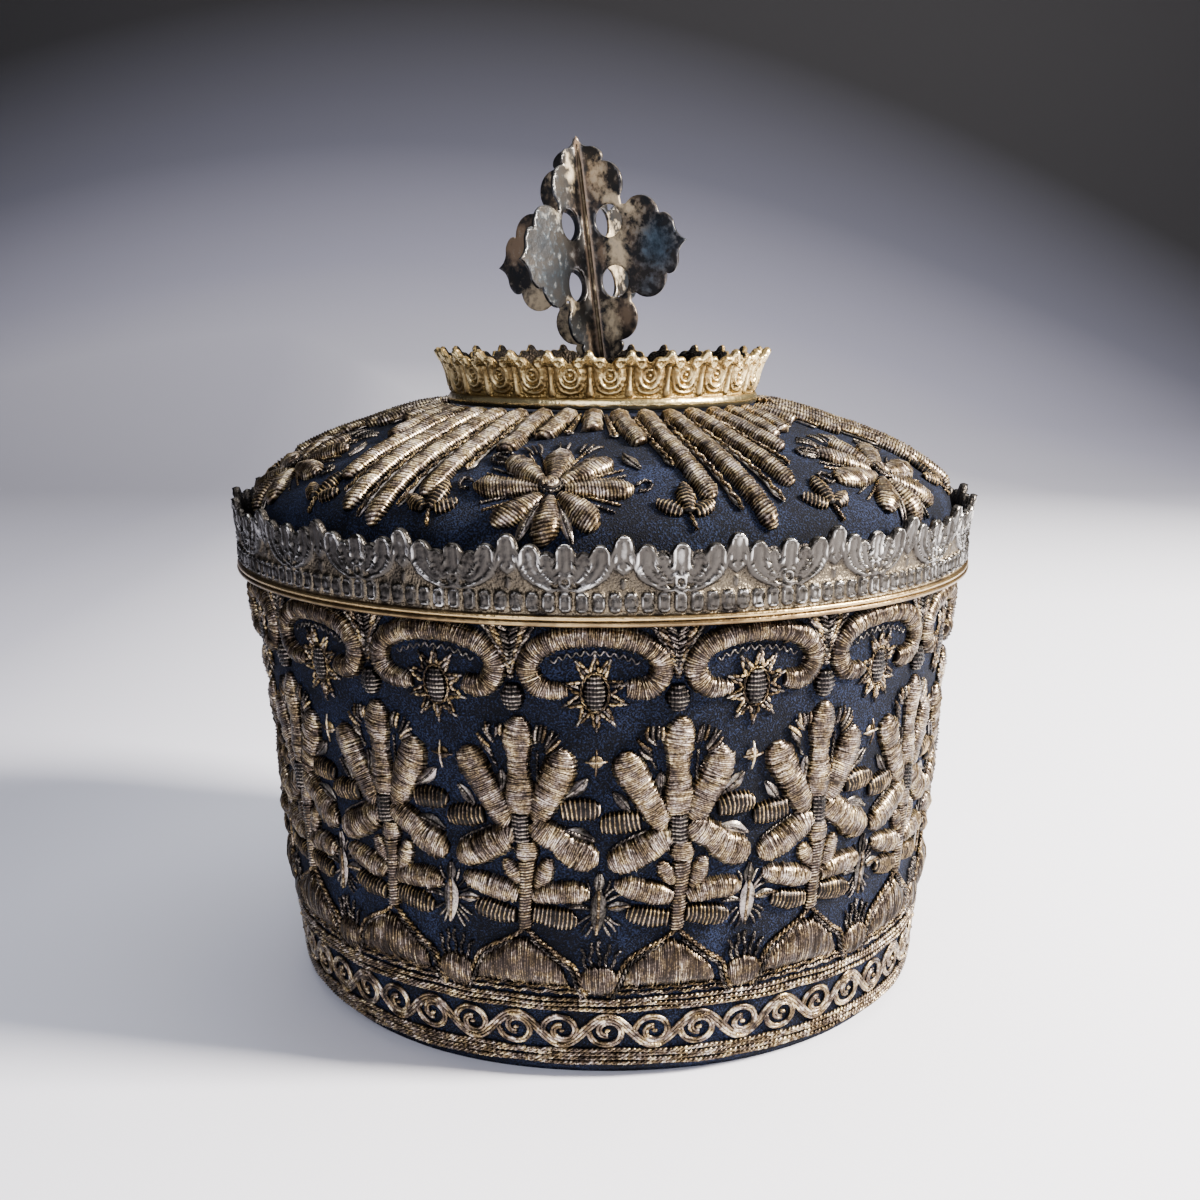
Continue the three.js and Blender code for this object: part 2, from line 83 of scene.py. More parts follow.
def smooth(rows: Array, steps: int) -> Array:
    """Passes a Catmull-Rom curve through rows of numbers.

    Each stretch is the cubic that meets its two rows with a slope of half the step between their neighbours.

    Args:
        rows: one row for each point of the curve; every column is smoothed alike.
        steps: how many steps each stretch is cut into.

    Returns:
        The denser rows, first and last ones kept.
    """
    padded = np.vstack([2 * rows[0] - rows[1], rows, 2 * rows[-1] - rows[-2]])
    t = (np.arange(steps) / steps)[None, :, None]
    a, b, c, d = (padded[i : len(padded) - 3 + i, None, :] for i in range(4))
    curve = b + 0.5 * t * (c - a + t * (2 * a - 5 * b + 4 * c - d + t * (3 * (b - c) + d - a)))
    return np.vstack([curve.reshape(-1, rows.shape[1]), rows[-1]])


def linear(hex_code: str) -> tuple[float, float, float, float]:
    """An sRGB hex colour as linear RGBA."""
    values = np.array([int(hex_code[i : i + 2], 16) / 255 for i in (1, 3, 5)])
    values = np.where(values <= 0.04045, values / 12.92, ((values + 0.055) / 1.055) ** 2.4)
    return (*values.tolist(), 1.0)


# ---- Meshes from arrays ----


def tubes(
    paths: Array, ups: Array, half_width: Array, half_height: Array, sides: int, closed: bool = False
) -> tuple[Array, list[Array]]:
    """Puts an elliptical tube round each path.

    A ring's point at angle a lies at path + half_width * cos(a) * across + half_height * sin(a) * up, where
    across is square to the path and to up. The first point of each ring is the one on top.

    Args:
        paths: points of shape (tubes, stations, 3).
        ups: the direction away from the cloth at each point, of the same shape.
        half_width: half widths that broadcast to (tubes, stations).
        half_height: half heights that broadcast to (tubes, stations).
        sides: how many points a ring has.
        closed: whether each path ends where it starts, so that it takes no caps.

    Returns:
        The points and the faces, as a list of index arrays with one row for each face.
    """
    count, stations = paths.shape[:2]
    if closed:
        tangent = unit(np.roll(paths, -1, 1) - np.roll(paths, 1, 1))
    else:
        tangent = unit(np.gradient(paths, axis=1))
    across = unit(np.cross(tangent, ups))
    up = np.cross(across, tangent)
    angle = np.pi / 2 + 2 * np.pi * np.arange(sides) / sides
    wide = np.broadcast_to(half_width, (count, stations))[..., None, None]
    high = np.broadcast_to(half_height, (count, stations))[..., None, None]
    cos, sin = np.cos(angle)[None, None, :, None], np.sin(angle)[None, None, :, None]
    points = paths[:, :, None] + wide * cos * across[:, :, None] + high * sin * up[:, :, None]

    index = np.arange(count * stations * sides).reshape(count, stations, sides)
    ahead = np.roll(index, -1, 1) if closed else index[:, 1:]
    here = index if closed else index[:, :-1]
    quads = np.stack([here, ahead, np.roll(ahead, -1, 2), np.roll(here, -1, 2)], -1).reshape(-1, 4)
    faces = [quads]
    if not closed:
        faces += [index[:, 0], index[:, -1, ::-1]]
    return points.reshape(-1, 3), faces


def sheet_faces(rows: int, columns: int, wrap_rows: bool = False, wrap_columns: bool = False) -> Array:
    """Joins a grid of points, numbered row by row, with quads.

    Args:
        rows: how many rows the grid has.
        columns: how many points a row has.
        wrap_rows: whether the last row joins the first.
        wrap_columns: whether each row's last point joins its first.

    Returns:
        The quads' indices.
    """
    index = np.arange(rows * columns).reshape(rows, columns)
    if wrap_rows:
        index = np.vstack([index, index[:1]])
    if wrap_columns:
        index = np.hstack([index, index[:, :1]])
    return np.stack([index[:-1, :-1], index[:-1, 1:], index[1:, 1:], index[1:, :-1]], -1).reshape(-1, 4)


class Piece:
    """One object of the scene, gathered part by part as arrays and made into a mesh at the end."""

    total = 0

    def __init__(self, name: str, finishes: tuple["Finish", ...]) -> None:
        """Starts an empty piece.

        Args:
            name: the object's name.
            finishes: its materials, in slot order.
        """
        self.name = name
        self.finishes = finishes
        self.points: list[Array] = []
        self.faces: list[Array] = []
        self.slots: list[Array] = []
        self.tones: list[Array] = []
        self.runs: list[Array] = []
        self.extras: dict[str, Array] = {}
        self.count = 0

    def face(self, faces: Array, slot: int) -> None:
        """Adds faces in one of the material slots, between points that are there already."""
        self.faces.append(faces)
        self.slots.append(np.full(len(faces), slot))

    def add(
        self, points: Array, faces: list[Array], finish: "Finish", tone: Values = 0.5, run: Values = 0.0
    ) -> None:
        """Adds points in millimetres with their faces.

        Args:
            points: shape (n, 3).
            faces: index arrays, each with one row for each face.
            finish: the material of these faces; it has to be one of the piece's own.
            tone: a number for each point, read by the materials as the attribute "tone".
            run: how far along its strand each point lies, which becomes the first column of the UV.
        """
        self.points.append(points)
        self.tones.append(np.broadcast_to(np.asarray(tone, float), len(points)))
        self.runs.append(np.broadcast_to(np.asarray(run, float), len(points)))
        for block in faces:
            self.face(block + self.count, self.finishes.index(finish))
        self.count += len(points)

    def build(self, replaces: tuple[str, ...], slot: str) -> bpy.types.Object:
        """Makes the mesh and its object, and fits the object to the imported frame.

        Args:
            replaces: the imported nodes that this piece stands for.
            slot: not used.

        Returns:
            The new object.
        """
        mesh = bpy.data.meshes.new(self.name)
        points = np.concatenate(self.points) * MM
        corners = np.concatenate([block.reshape(-1) for block in self.faces])
        sizes = np.concatenate([np.full(len(block), block.shape[1]) for block in self.faces])
        mesh.vertices.add(len(points))
        mesh.vertices.foreach_set("co", points.reshape(-1))
        mesh.loops.add(len(corners))
        mesh.loops.foreach_set("vertex_index", corners.astype(np.int32))
        mesh.polygons.add(len(sizes))
        mesh.polygons.foreach_set("loop_start", (np.cumsum(sizes) - sizes).astype(np.int32))
        mesh.polygons.foreach_set("material_index", np.concatenate(self.slots).astype(np.int32))
        mesh.polygons.foreach_set("use_smooth", np.full(len(sizes), True))
        tone = mesh.attributes.new("tone", "FLOAT", "POINT")
        tone.data.foreach_set("value", np.concatenate(self.tones).astype(np.float32))
        for name, values in self.extras.items():
            mesh.attributes.new(name, "FLOAT", "POINT").data.foreach_set("value", values.astype(np.float32))
        run = np.concatenate(self.runs)[corners].astype(np.float32)
        flat = np.stack([run, np.zeros_like(run)], 1)
        mesh.uv_layers.new(name="Length").uv.foreach_set("vector", flat.reshape(-1))
        for finish in self.finishes:
            mesh.materials.append(finish.material())
        mesh.update(calc_edges=True)
        mesh.validate()
        thing = bpy.data.objects.new(self.name, mesh)
        bpy.context.scene.collection.objects.link(thing)
        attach(thing, ROOT)
        if replaces:
            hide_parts(*replaces)
        triangles = int((sizes - 2).sum())
        LOG.info("%s: %d triangles", self.name, triangles)
        Piece.total += triangles
        return thing


# ---- Finishes ----


def add_node(
    tree: bpy.types.NodeTree, kind: str, inputs: dict[str | int, object] | None = None, **settings: object
) -> bpy.types.Node:
    """Adds a node to a material.

    Args:
        tree: the material's node tree.
        kind: the node's type, without the "ShaderNode" that starts it.
        inputs: for each input, by name or number, a value, a socket or a node whose first output it takes.
        settings: the node's own properties.

    Returns:
        The node.
    """
    made = tree.nodes.new("ShaderNode" + kind)
    for key, value in settings.items():
        setattr(made, key, value)
    for key, value in (inputs or {}).items():
        source = value.outputs[0] if isinstance(value, bpy.types.Node) else value
        if isinstance(source, bpy.types.NodeSocket):
            tree.links.new(source, made.inputs[key])
        else:
            made.inputs[key].default_value = source
    return made


def per_mm(size: float) -> float:
    """The scale of a texture whose features are this many millimetres apart, on coordinates in metres."""
    return 1 / (size * MM)


@dataclass(frozen=True)
class Finish:
    """What a surface is made of and how it was made."""

    name: str

    def material(self) -> bpy.types.Material:
        """Makes the finish's material on the first call and finds it by name on the next ones.

        Returns:
            The material.
        """
        found = bpy.data.materials.get(self.name)
        if found:
            return found
        made = bpy.data.materials.new(self.name)
        made.use_nodes = True
        made.node_tree.nodes.clear()
        shader = self.shade(made.node_tree)
        add_node(made.node_tree, "OutputMaterial", {"Surface": shader})
        return made

    def shade(self, tree: bpy.types.NodeTree) -> bpy.types.Node:
        """Adds the finish's nodes.

        Args:
            tree: the material's node tree.

        Returns:
            The shader.
        """
        raise NotImplementedError


@dataclass(frozen=True)
class Thread(Finish):
    """Silk thread wound with a strip of metal: satin, patchy with tarnish, each strand a little different.

    Lengths are in mm: a turn of a coil, the patches of tarnish, the grain of the strip, the clouds of
    yellowing and the depth of the grain. The grain is partly the strip's own grain and partly painted glints,
    bright specks in the colour. The tones run from dark to bright between tones_from and tones_to.
    """

    dark: str
    middle: str
    bright: str
    metallic: float
    roughness: float
    coil: float = 0.0
    aged: str = "#FFF1CE"
    fresh: str = "#E9E2EA"
    patch: float = 5.0
    grain: float = 0.6
    cloud: float = 2.6
    depth: float = 0.14
    tones_from: float = 0.9
    tones_to: float = 1.58

    def shade(self, tree: bpy.types.NodeTree) -> bpy.types.Node:
        """Mixes three tones by strand and by patch, and adds a coil's turns as bump along the strand.

        The share of the way from dark to bright is half the strand's own tone, the attribute "tone", plus
        1.1 times the patches, plus 0.9 times the grain. A coil's height is the sine of its turns.
        """
        where = add_node(tree, "TexCoord").outputs["Object"]
        strand = add_node(tree, "Attribute", attribute_name="tone").outputs["Fac"]
        patch = add_node(tree, "TexNoise", {"Vector": where, "Scale": per_mm(self.patch), "Detail": 4.0})
        # The grain noise also paints bright specks into the colour below: painted glints.
        grain = add_node(tree, "TexNoise", {"Vector": where, "Scale": per_mm(self.grain), "Detail": 2.0})
        total = add_node(tree, "Math", {0: strand, 1: 0.5}, operation="MULTIPLY")
        for noise, share in ((patch, 1.1), (grain, 0.9)):
            total = add_node(tree, "Math", {0: noise, 1: share, 2: total}, operation="MULTIPLY_ADD")
        spread = add_node(tree, "MapRange", {"Value": total, 1: self.tones_from, 2: self.tones_to})
        ramp = add_node(tree, "ValToRGB", {"Fac": spread})
        stops = ramp.color_ramp.elements
        stops[0].color, stops[1].color = linear(self.dark), linear(self.bright)
        stops.new(0.5).color = linear(self.middle)
        age = add_node(tree, "TexNoise", {"Vector": where, "Scale": per_mm(self.cloud), "Detail": 3.0})
        yellowed = add_node(tree, "MapRange", {"Value": age, 1: 0.4, 2: 0.6})
        tints = {0: yellowed, 6: linear(self.fresh), 7: linear(self.aged)}
        tint = add_node(tree, "Mix", tints, data_type="RGBA").outputs[2]
        both = {0: 1.0, 6: ramp, 7: tint}
        colour = add_node(tree, "Mix", both, data_type="RGBA", blend_type="MULTIPLY").outputs[2]
        height = grain
        if self.coil:
            along = add_node(tree, "UVMap", uv_map="Length")
            turns = add_node(tree, "SeparateXYZ", {"Vector": along})
            angle = add_node(tree, "Math", {0: turns, 1: 2 * math.pi / self.coil}, operation="MULTIPLY")
            height = add_node(tree, "Math", {0: angle}, operation="SINE")
        raised = add_node(tree, "Bump", {"Height": height, "Strength": 0.6, "Distance": self.depth * MM})
        metal = {"Metallic": self.metallic, "Roughness": self.roughness}
        return add_node(tree, "BsdfPrincipled", {"Base Color": colour, "Normal": raised, **metal})


@dataclass(frozen=True)
class WoolCloth(Finish):
    """Fulled wool cloth dyed with indigo: matt, with a short nap that catches the light in pale flecks.

    Lengths are in mm: the flecks, the patches of wear and the depth of the nap.
    """

    ground: str
    nap: str
    sheen: str = "#5A6CA8"
    fleck: float = 0.5
    wear: float = 18.0
    depth: float = 0.55

    def shade(self, tree: bpy.types.NodeTree) -> bpy.types.Node:
        """Draws a fine speckle over slow patches of wear, with the nap as bump and a little sheen."""
        where = add_node(tree, "TexCoord").outputs["Object"]
        fleck = add_node(tree, "TexNoise", {"Vector": where, "Scale": per_mm(self.fleck), "Detail": 4.0})
        wear = add_node(tree, "TexNoise", {"Vector": where, "Scale": per_mm(self.wear), "Detail": 2.0})
        both = add_node(tree, "Math", {0: wear, 1: 0.35, 2: fleck}, operation="MULTIPLY_ADD")
        share = add_node(tree, "MapRange", {"Value": both, 1: 0.66, 2: 0.96})
        colours = {0: share, 6: linear(self.ground), 7: linear(self.nap)}
        raised = add_node(tree, "Bump", {"Height": fleck, "Strength": 0.9, "Distance": self.depth * MM})
        colour = add_node(tree, "Mix", colours, data_type="RGBA").outputs[2]
        sheen = {"Sheen Weight": 0.015, "Sheen Roughness": 0.5, "Sheen Tint": linear(self.sheen)}
        matt = {"Roughness": 0.9, "Specular IOR Level": 0.12, **sheen}
        return add_node(tree, "BsdfPrincipled", {"Base Color": colour, "Normal": raised, **matt})


@dataclass(frozen=True)
class ChasedSilver(Finish):
    """Cast and chased silver: oxide lies in the hollows, the ridges are worn bright by handling and painted
    with highlight, and gilding is left in patches on the ground below gilt_to.

    Lengths are in mm: the two heights between which the gilding ends, the patches of stain, the stippling
    of the ground, the dents and their depth. From the level wear_and_highlight_from the metal turns bright,
    which is wear and painted highlight.
    """

    hollow: str
    metal: str
    ridge: str
    gilding: str
    gilt_from: float
    gilt_to: float
    roughness: float
    wear_and_highlight_from: float = 0.62
    patch: float = 9.0
    stipple: float = 0.8
    dent: float = 2.2
    depth: float = 0.4

    def shade(self, tree: bpy.types.NodeTree) -> bpy.types.Node:
        """Colours the casting by its relief: the attribute "tone" runs from 0, a hollow, to 1, a ridge.

        A point's level is 0.8 times its relief plus 0.7 times the stain.
        """
        where = add_node(tree, "TexCoord").outputs["Object"]
        relief = add_node(tree, "Attribute", attribute_name="tone").outputs["Fac"]
        stain = add_node(tree, "TexNoise", {"Vector": where, "Scale": per_mm(self.patch), "Detail": 4.0})
        worn = add_node(tree, "Math", {0: stain, 1: 0.7}, operation="MULTIPLY")
        level = add_node(tree, "Math", {0: relief, 1: 0.8, 2: worn}, operation="MULTIPLY_ADD")
        ramp = add_node(tree, "ValToRGB", {"Fac": level})
        stops = ramp.color_ramp.elements
        stops[0].position, stops[0].color = 0.25, linear(self.hollow)
        # Ridges take the bright ridge colour: wear and painted highlight.
        stops[1].color = linear(self.ridge)
        stops.new(self.wear_and_highlight_from).color = linear(self.metal)
        height = add_node(tree, "SeparateXYZ", {"Vector": where}).outputs["Z"]
        low = add_node(tree, "MapRange", {"Value": height, 1: self.gilt_to * MM, 2: self.gilt_from * MM})
        patchy = add_node(tree, "MapRange", {"Value": stain, 1: 0.3, 2: 0.5})
        ground = add_node(tree, "MapRange", {"Value": relief, 1: 0.28, 2: 0.06})
        below = add_node(tree, "Math", {0: low, 1: ground}, operation="MULTIPLY")
        share = add_node(tree, "Math", {0: below, 1: patchy}, operation="MULTIPLY")
        colours = {0: share, 6: ramp, 7: linear(self.gilding)}
        rough = add_node(tree, "MapRange", {"Value": level, 1: 0.35, 2: 0.95, 3: 0.45, 4: self.roughness})
        stipple = add_node(tree, "TexVoronoi", {"Vector": where, "Scale": per_mm(self.stipple)})
        dots = add_node(tree, "Math", {0: stipple, 1: ground}, operation="MULTIPLY")
        dents = add_node(tree, "TexNoise", {"Vector": where, "Scale": per_mm(self.dent), "Detail": 2.0})
        uneven = add_node(tree, "Math", {0: dents, 1: 0.9, 2: dots}, operation="MULTIPLY_ADD")
        raised = add_node(tree, "Bump", {"Height": uneven, "Strength": 0.8, "Distance": self.depth * MM})
        colour = add_node(tree, "Mix", colours, data_type="RGBA").outputs[2]
        surface = {"Base Color": colour, "Metallic": 1.0, "Roughness": rough, "Normal": raised}
        return add_node(tree, "BsdfPrincipled", surface)


@dataclass(frozen=True)
class SheetSilver(Finish):
    """Hammered silver sheet: bare and tarnished metal in clouds, a crust of tan solder and lacquer, which on
    one wing is also painted reflection.

    Lengths are in mm: the clouds of tarnish, the grit of the stains and its depth.
    """

    clean: str
    tarnish: str
    crust: str
    soot: str
    bloom: str
    cloud: float = 12.0
    grit: float = 2.4
    depth: float = 0.3

    def shade(self, tree: bpy.types.NodeTree) -> bpy.types.Node:
        """Lays soot, crust and bloom over the metal, as much as the attributes of those names ask for.

        A stain's edge is ragged: it shows where 2.2 times the grit plus the asked amount passes 1.3.
        """
        where = add_node(tree, "TexCoord").outputs["Object"]
        cloud = add_node(tree, "TexNoise", {"Vector": where, "Scale": per_mm(self.cloud), "Detail": 4.0})
        fine = {"Vector": where, "Scale": per_mm(self.grit), "Detail": 6.0, "Roughness": 0.62}
        grit = add_node(tree, "TexNoise", fine)
        dull = add_node(tree, "MapRange", {"Value": cloud, 1: 0.35, 2: 0.65})
        colours = {0: dull, 6: linear(self.clean), 7: linear(self.tarnish)}
        colour = add_node(tree, "Mix", colours, data_type="RGBA").outputs[2]
        shares = {}
        for name, tint in (("soot", self.soot), ("crust", self.crust), ("bloom", self.bloom)):
            asked = add_node(tree, "Attribute", attribute_name=name).outputs["Fac"]
            ragged = add_node(tree, "Math", {0: grit, 1: 2.2, 2: asked}, operation="MULTIPLY_ADD")
            shares[name] = add_node(tree, "MapRange", {"Value": ragged, 1: 1.3, 2: 1.98, 4: 0.92})
            colours = {0: shares[name], 6: colour, 7: linear(tint)}
            colour = add_node(tree, "Mix", colours, data_type="RGBA").outputs[2]
        rough = add_node(tree, "MapRange", {"Value": shares["crust"], 3: 0.3, 4: 0.62})
        covered = add_node(tree, "Math", {0: shares["crust"], 1: shares["soot"]}, operation="MAXIMUM")
        bare = add_node(tree, "MapRange", {"Value": covered, 3: 0.86, 4: 0.3})
        raised = add_node(tree, "Bump", {"Height": grit, "Strength": 0.45, "Distance": self.depth * MM})
        metal = {"Metallic": bare, "Roughness": rough}
        return add_node(tree, "BsdfPrincipled", {"Base Color": colour, "Normal": raised, **metal})


COLD = "#F4F0EA"
# Silver-gilt strip wound on silk and laid in satin stitch: pale silky gold, with brown painted shade between
# strands.
GOLD = Thread("silver-gilt thread", "#211A14", "#796C5C", "#FFF8E2", metallic=0.8, roughness=0.31)
# The same thread wound hard and gone dull: tan turns with black painted shade between them.
STRIPE = Thread("dulled silver-gilt purl", "#0C0907", "#5E5242", "#E0CDA8", metallic=0.75, roughness=0.36)
# A nearly black, matt sheet laid under a boss's coil: painted shade, seen between the turns.
SHADE_PADDING = Thread("padding painted as shade", "#0F0B07", "#1C150E", "#2B2116", metallic=0.3, roughness=0.7)
# Fine silver wire wound into a hollow spring and cut: dark grey, with a glint on each turn. The real turns
# are 0.3 mm apart and are drawn three times as coarse, so that they show.
PURL = Thread("oxidised silver purl", "#0E0C0B", "#3E3934", "#A8A092", 0.85, 0.32, coil=0.9, aged=COLD)
# The same spring in gilt wire: brown-gold.
GILT_PURL = Thread("silver-gilt purl", "#1C1610", "#605340", "#DECDA8", 0.8, 0.34, coil=0.9)
# Silver wire rolled flat: soft grey with a broad shine.
PLATE = Thread("flattened silver plate", "#1D1B19", "#54514C", "#B4AEA4", 0.9, 0.32, aged=COLD)
# Fulled and dyed with indigo: deep blue, nearly black in the shade, with a pale nap.
WOOL = WoolCloth("indigo wool cloth", "#05060B", "#26304C")
# Plain cotton, greyed by wear: a warm dark grey inside the cap.
LINING = WoolCloth("undyed cotton lining", "#24221E", "#48433C")
# Cast, chased and left to darken: grey-brown with rims worn bright and painted with highlight, and a warm
# ground where gilding is left.
BAND_SILVER = ChasedSilver(
    "oxidised cast silver", "#2F2B28", "#484541", "#FFFDF8", "#7F735F", 134, 149, 0.16, wear_and_highlight_from=0.73
)
# Drawn through a die and fire-gilt, rubbed on its rolls: dull brown-gold with pale lines, worn and painted
# with highlight.
BAND_GILT = ChasedSilver(
    "worn silver-gilt moulding", "#2A2018", "#66533A", "#CDB07C", "#6E562E", 190, 220, 0.26
)
# Cast and fire-gilt, better kept than the band: bright pale gold with olive hollows, its ridges painted with
# highlight.
CORONET_GILT = ChasedSilver(
    "bright cast silver-gilt", "#6A5634", "#937D54", "#F6DFA4", "#9A8250", 186, 202, 0.26
)
# The unchased back of a casting, nearly black.
RIM_BACK = ChasedSilver("dark back of a casting", "#0F0D0B", "#181410", "#332E28", "#181410", 190, 220, 0.45)
# Hammered and soldered: cool grey where it is bare, tan crust by the holes, brown soot and a blue bloom.
# The pale crust on the wing behind to the right is also painted reflection.
CROSS_SILVER = SheetSilver(
    "tarnished silver sheet", "#32363B", "#46423E", crust="#C8B593", soot="#7E6A55", bloom="#4E6272"
)
# A run of brazing along the fold: dark brown with a thin shine.
SPINE_BRASS = SheetSilver(
    "tarnished brass solder", "#5A4C36", "#33291C", crust="#97845E", soot="#1C150E", bloom="#152A3C"
)


# ---- The cloth cap ----


@dataclass(frozen=True)
class Dent:
    """A slow bulge or hollow of the soft wall: azimuth and reach in degrees, the rest in mm."""

    azimuth: float
    reach: float
    height: float
    rise: float
    push: float


@dataclass
class SoftCap:
    """The cloth cap: a wall with a rolled hem, a shoulder and a low dome, all one soft surface."""

    outline: Rows = (
        (0, 182.5), (49.8, 180.5), (77.3, 173.1), (92.6, 167.2), (103.5, 160.6), (108.8, 155.6),
        (110.8, 149), (111.4, 138), (110, 120), (107, 90), (104.7, 55), (102, 20), (99.8, 4), (97.6, 0),
    )
    dents: tuple[Dent, ...] = (
        Dent(-90, 38, 80, 30, -1.6), Dent(-90, 40, 120, 22, 1.1), Dent(0, 36, 0, 40, -1.3),
        Dent(55, 34, 0, 45, 0.9), Dent(150, 45, 60, 45, -1.2),
    )
    wall: float = 3.0
    seam_height: float = 138.0
    seam_gap: float = 0.4
    hem_offset: float = 1.4
    lean_top: float = 140.0
    hem_round: float = 1.2
    back_trim: float = 2.0
    top_trim: float = 1.0
    axis_radius: float = 0.02
    wall_rows: int = 46
    dome_rows: int = 44
    columns: int = 160
    curve_steps: int = 16

    def __post_init__(self) -> None:
        """Works out a smooth outline with its arc lengths and outward directions."""
        curve = smooth(np.array(self.outline), self.curve_steps)
        curve[:, 0] = np.maximum(curve[:, 0], 0)
        step = np.diff(curve, axis=0)
        self.arcs = np.concatenate([[0], np.cumsum(np.linalg.norm(step, axis=1))])
        slope = unit(np.gradient(curve, self.arcs, axis=0))
        self.curve = curve
        self.normals = np.stack([-slope[:, 1], slope[:, 0]], 1)
        self.hem_arc = float(self.arcs[-1])

    def at_height(self, height: float) -> float:
        """The arc length from the apex at which the outline passes a height."""
        return float(np.interp(-height, -self.curve[:, 1], self.arcs))

    def at_radius(self, radius: float) -> float:
        """The arc length from the apex at which the dome reaches a radius."""
        widest = int(np.argmax(self.curve[:, 0]))
        return float(np.interp(radius, self.curve[:widest, 0], self.arcs[:widest]))

    def radius(self, arc: Array) -> Array:
        """The cloth's radius at arc lengths."""
        return np.interp(arc, self.arcs, self.curve[:, 0])

    def place(self, azimuth: Array, radius: Array, height: Array) -> Array:
        """Turns azimuth, radius and height into points, pushed by the dents and leaning to +X at the hem.

        A dent's push fades round the wall and up it by the product of two cosine bumps.

        Args:
            azimuth: degrees from the front.
            radius: distance from the axis before the dents.
            height: height over the floor.

        Returns:
            The points.
        """
        azimuth, radius, height = np.broadcast_arrays(azimuth, radius, height)
        pushed = radius.astype(float)
        for dent in self.dents:
            turn = (azimuth - dent.azimuth + 540) % 360 - 180
            pushed = pushed + dent.push * bump(turn, dent.reach) * bump(height - dent.height, dent.rise)
        shift = self.hem_offset * np.maximum(0, 1 - height / self.lean_top)
        turn = np.radians(azimuth)
        return np.stack([pushed * np.sin(turn) + shift, -pushed * np.cos(turn), height], -1)

    def lay(self, azimuth: Array, arc: Array, lift: Array) -> Array:
        """Lifts points off the cloth: the outline at the arc length, moved out along its normal.

        Args:
            azimuth: degrees from the front.
            arc: arc lengths from the apex.
            lift: how far off the cloth.

        Returns:
            The points.
        """
        radius, height = (
            np.interp(arc, self.arcs, self.curve[:, i]) + lift * np.interp(arc, self.arcs, self.normals[:, i])
            for i in (0, 1)
        )
        return self.place(azimuth, radius, height)

    def shell(self, start: float, end: float, rows: int) -> tuple[Array, Array]:
        """Cuts a stretch out of the cloth.

        Args:
            start: the arc length where it starts.
            end: the arc length where it ends.
            rows: how many rows it has.

        Returns:
            Radii and heights of the outer face, then those of the inner face in the opposite order.
        """
        arcs = np.linspace(start, end, rows)
        radius, height = self.radius(arcs), np.interp(arcs, self.arcs, self.curve[:, 1])
        inward = [np.interp(arcs, self.arcs, self.normals[:, i]) * self.wall for i in (0, 1)]
        inner = np.stack([radius - inward[0], height - inward[1]], 1)
        return np.stack([radius, height], 1), inner[::-1]

    def turned(self, profile: Array, wool: int, name: str, node: str) -> None:
        """Turns a closed profile about the axis and lays it on the cap's dented shape.

        Args:
            profile: radii and heights, clockwise seen with the axis on the left.
            wool: how many of the profile's first steps show wool; the rest is lining.
            name: the piece's name.
            node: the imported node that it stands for.
        """
        azimuth = np.arange(self.columns) * 360 / self.columns
        points = self.place(azimuth[None, :], profile[:, :1], profile[:, 1:])
        faces = sheet_faces(len(profile), self.columns, wrap_rows=True, wrap_columns=True)
        outside = np.arange(len(faces)) // self.columns < wool
        piece = Piece(name, (WOOL, LINING))
        piece.add(points.reshape(-1, 3), [faces[outside]], WOOL)
        piece.face(faces[~outside], 1)
        piece.build((node,), "cap_cloth")

    def build(self) -> None:
        """Makes the wall and the dome, whose seam hides behind the silver band."""
        seam = self.at_height(self.seam_height)
        outer, inner = self.shell(seam, self.hem_arc, self.wall_rows)
        hem = outer[-1, 0]
        outer = outer[outer[:, 1] > self.hem_round]
        turn = np.linspace(0, np.pi / 2, 4)
        fold = np.stack([hem - self.hem_round * (1 - np.cos(turn)), self.hem_round * (1 - np.sin(turn))], 1)
        back = (hem - self.wall, 0.0)
        inner = inner[(inner[:, 1] > self.back_trim) & (inner[:, 1] < self.seam_height - self.top_trim)]
        top = (outer[0, 0] - self.wall, self.seam_height)
        wall = np.vstack([outer, fold, back, inner[::2], top])
        self.turned(wall, len(outer) + len(fold), "cap_wall_cloth", "cap_wall")

        outer, inner = self.shell(0.0, seam, self.dome_rows)
        outer[0] = (self.axis_radius, self.outline[0][1])
        edge, height = outer[-1, 0], self.seam_height + self.seam_gap
        lip = ((edge, height), (edge - self.wall, height))
        inner = inner[inner[:, 1] > self.seam_height + self.back_trim]
        inner[-1] = (self.axis_radius, self.outline[0][1] - self.wall)
        dome = np.vstack([outer[:-1], lip, inner[::2], inner[-1:]])
        self.turned(dome, len(outer), "cap_dome_cloth", "cap_dome")


# ---- Needlework ----


@dataclass(frozen=True)
class Spot:
    """A place on the cap, about which a motif is laid out flat."""

    cap: SoftCap
    azimuth: float
    arc: float

    def wrap(self, flat: Array) -> tuple[Array, Array]:
        """Azimuths and arc lengths of flat points: y goes up the cloth, x round it at that height."""
        arc = self.arc - flat[..., 1]
        return self.azimuth + np.degrees(flat[..., 0] / self.cap.radius(arc)), arc


@dataclass(frozen=True)
class Stitch:
    """How threads are laid across a pad.

    In mm: the pitch between threads, their relief, the bow of a thread, and how far the ends overhang the
    pad, on average and with how ragged an edge. Without unit: the slant of a thread and its sway, the share
    of the pitch that a thread strays, how uneven the heights are, how much the tone changes along a thread
    in painted glints, and the tones of threads, of their ends, which are painted highlight, and of the
    grooves, which are painted shade.
    """

    finish: Finish
    pitch: float
    relief: float
    spans: int = 4
    slant: float = 0.0
    bow: float = 0.0
    stray: float = 0.1
    overhang: float = 0.28
    ragged: float = 0.16
    sway: float = 0.03
    uneven: float = 0.03
    dull: float = 0.2
    # Painted light: the ends of a thread take painted highlight, the grooves painted shade.
    end_highlight: float = 0.6
    glitter: float = 0.55
    groove: float = -0.25
    upright: bool = False


